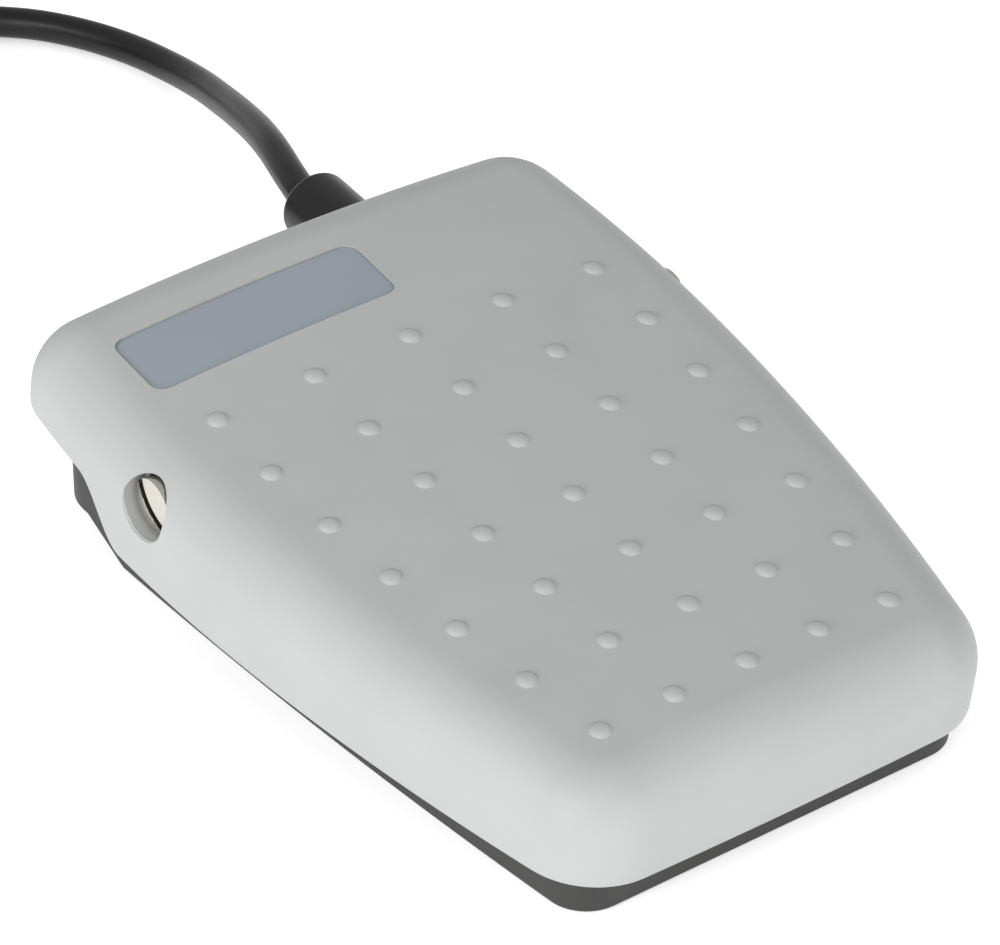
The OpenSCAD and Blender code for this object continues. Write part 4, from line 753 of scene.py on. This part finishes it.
# %% Pivot screws
def slot_knife(side):
    """The slot as a slab across the head, 1.5 mm wide and 1.5 mm deep, at 45 degrees. Its one
    wall wavers by a tenth of a millimetre or so, as a sum of two sine waves."""
    s = np.linspace(-6, 6, 60)
    waver = 0.07 * np.sin(2.9 * s + 0.8) * np.sin(1.1 * s) + 0.05 * np.sin(7.3 * s)
    across = np.stack([np.full_like(s, -0.75), 0.75 + waver], 1)
    c = np.sqrt(0.5)
    y = PIVOT[1] + c * (-side * s[:, None] - side * across)
    z = PIVOT[2] + c * (s[:, None] - across)
    return slab(*[np.stack([np.full_like(y, side * x), y, z], -1) for x in (51.95, 56)])


def paint_slot_shade(screw):
    """Paints shade into the slot: its walls and floor get a dark steel colour that stands for the
    shade falling there. They are the faces inside the slot's width that turn away from the screw's
    axis, or lie at the slot's depth."""
    middles = np.array([face.center for face in screw.data.polygons]) / MM
    facing = np.array([face.normal for face in screw.data.polygons])
    side = np.sign(middles[0, 0])
    across = np.sqrt(0.5) * (side * (middles[:, 1] - PIVOT[1]) + middles[:, 2] - PIVOT[2])
    out = np.abs(middles[:, 0])
    inside = (np.abs(across) < 0.9) & (out > 51.9) & ((np.abs(facing[:, 0]) < 0.3) | (out < 52))
    screw.data.materials.append(slot_shade_paint)
    screw.data.polygons.foreach_set("material_index", inside.astype(np.int32))
    print("slot faces", int(inside.sum()))


HEAD_AT, HEAD_HEIGHT, DOME = 7.37, 2.7, 16.465
dome = arc((0, HEAD_HEIGHT - DOME), DOME, 73.5, 90, 8)
head = [(2.5, HEAD_AT), (4.5, HEAD_AT), (4.75, 7.6), (4.75, 9.2)]
head += [(x, z + HEAD_AT) for x, z in dome]
for side, name in ((-1, "left"), (1, "right")):
    profile = [(0, -7.7), (1.7, -7.7), (2, -7.4), (2, 0), (2.5, 0)] + head
    profile += [(0, HEAD_AT + HEAD_HEIGHT)]
    screw = make("pivot_screw_%s_turned" % name,
                 turned(profile, [side * 43.38, *PIVOT[1:]], [side, 0, 0], 72))
    cut(screw, slot_knife(side))
    finish(screw, nickel_plate, "base", "plated_steel", "pivot_screw_" + name, crease=28)
    # The slot's walls and floor are painted darker, as painted shade.
    paint_slot_shade(screw)

# %% Boot
shoulder = BOOT_LENGTH - BOOT_ROUND
boot_profile = [(0, -1), (BOOT_R, -1), (BOOT_R, shoulder)]
boot_profile += arc((BOOT_R - BOOT_ROUND, shoulder), BOOT_ROUND, 0, 90) + [(0, BOOT_LENGTH)]
neck = [(0, 0), (6.5, 0), (6.5, 2), (4.8, 2), (4.8, 5.2), (0, 5.2)]
boot = make("boot_moulding", turned(boot_profile, boot_root, boot_way, 72),
            turned(neck, boot_root - [0, 4.8, 0], [0, 1, 0], 48))
finish(boot, soft_pvc, "base", "cord_rubber", "strain_relief")

# %% Return springs
def spring_line(x):
    """A compression spring's centre line: a close turn at each end, open turns between them."""
    t = np.linspace(0, 6, 145)
    low, high, end = 4.1, 25.0132, 1.1
    rise = np.where(t < 1, end * t, np.where(t > 5, high - low - end * (6 - t), end
                    + (high - low - 2 * end) * (t - 1) / 4))
    return np.stack([x + 4 * np.cos(2 * np.pi * t), SPRING_Y + 4 * np.sin(2 * np.pi * t),
                     low + rise], 1)


for x, name in ((-SPRING_X, "left"), (SPRING_X, "right")):
    spring = make("spring_wire_" + name, tube(spring_line(x), 0.98, 10))
    finish(spring, spring_wire, "base", "spring_steel", "return_spring_" + name, crease=60)
    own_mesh(spring)

# %% [markdown]
# ## Finishes on the exact nodes
# The microswitch, its bracket, screws and wires keep their exact shapes, and only get a finish.

# %% Dress the remaining nodes
dress = {
    nickel_plate: ["pivot_nuts", "bracket_screws", "switch_screws", "switch_nuts", "clamp_screws"],
    spring_wire: ["switch_lever", "lever_pin"],
    zinc_plate: ["switch_bracket"],
    buffer_rubber: ["stop_buffers", "rubber_feet"],
    phenolic: ["switch_case", "cord_clamp"],
    lid_plastic: ["switch_lid", "switch_button"],
    contact_brass: ["contact_strip", "terminal_common", "terminal_open", "terminal_closed"],
    tinned_copper: ["connectors"],
    blue_pvc: ["wire_common"],
    brown_pvc: ["wire_open"],
    black_pvc: ["wire_closed"],
    soft_pvc: ["inner_sheath"],
    strap_nylon: ["coil_tie"],
}
for material, names in dress.items():
    for name in names:
        for place in bpy.data.objects[name].material_slots:
            place.material = material
print("dressed", sum(len(names) for names in dress.values()), "nodes")

# %% [markdown]
# ## Floor and light
# The picture is a bright product shot: the background is white, the left side is the brightest
# face, then the front, and the top is darkest. So the light comes mostly from low on the left and
# the front, through large soft boxes. The floor is white paper on a lamp table: a little light
# comes through it, which keeps it white up to the switch and leaves hardly a shadow.

# %% Floor
floor_mesh = bpy.data.meshes.new("studio_floor")
floor_mesh.from_pydata([(-6, -6, 0), (6, -6, 0), (6, 6, 0), (-6, 6, 0)], [], [(0, 1, 2, 3)])
floor = bpy.data.objects.new("studio_floor", floor_mesh)
bpy.context.collection.objects.link(floor)
paper, tree, _ = blank("white_paper")
sheet = add(tree, "ShaderNodeBsdfPrincipled", Base_Color=tint("FAFAFA"), Roughness=0.9)
sheet.inputs["Emission Color"].default_value = (1, 1, 1, 1)
sheet.inputs["Emission Strength"].default_value = 0.46
add(tree, "ShaderNodeOutputMaterial", Surface=sheet.outputs["BSDF"])
floor_mesh.materials.append(paper)

# %% Lights
def soft_box(name, place, size, power):
    """A square area light that faces the switch. Place and size are in metres."""
    data = bpy.data.lights.new(name, "AREA")
    data.energy, data.size = power, size
    lamp = bpy.data.objects.new(name, data)
    lamp.location = place
    lamp.rotation_euler = Vector(place).to_track_quat("Z", "Y").to_euler()
    bpy.context.collection.objects.link(lamp)


soft_box("key_left", (-1.6, -0.35, 0.75), 1.2, 25.5)
soft_box("fill_front", (0.5, -1.7, 0.6), 1.2, 13)
world = bpy.data.worlds.new("studio")
world.use_nodes = True
world.node_tree.nodes["Background"].inputs["Color"].default_value = (1, 1, 1, 1)
world.node_tree.nodes["Background"].inputs["Strength"].default_value = 0.6
bpy.context.scene.world = world
bpy.context.scene.view_settings.view_transform = "Standard"
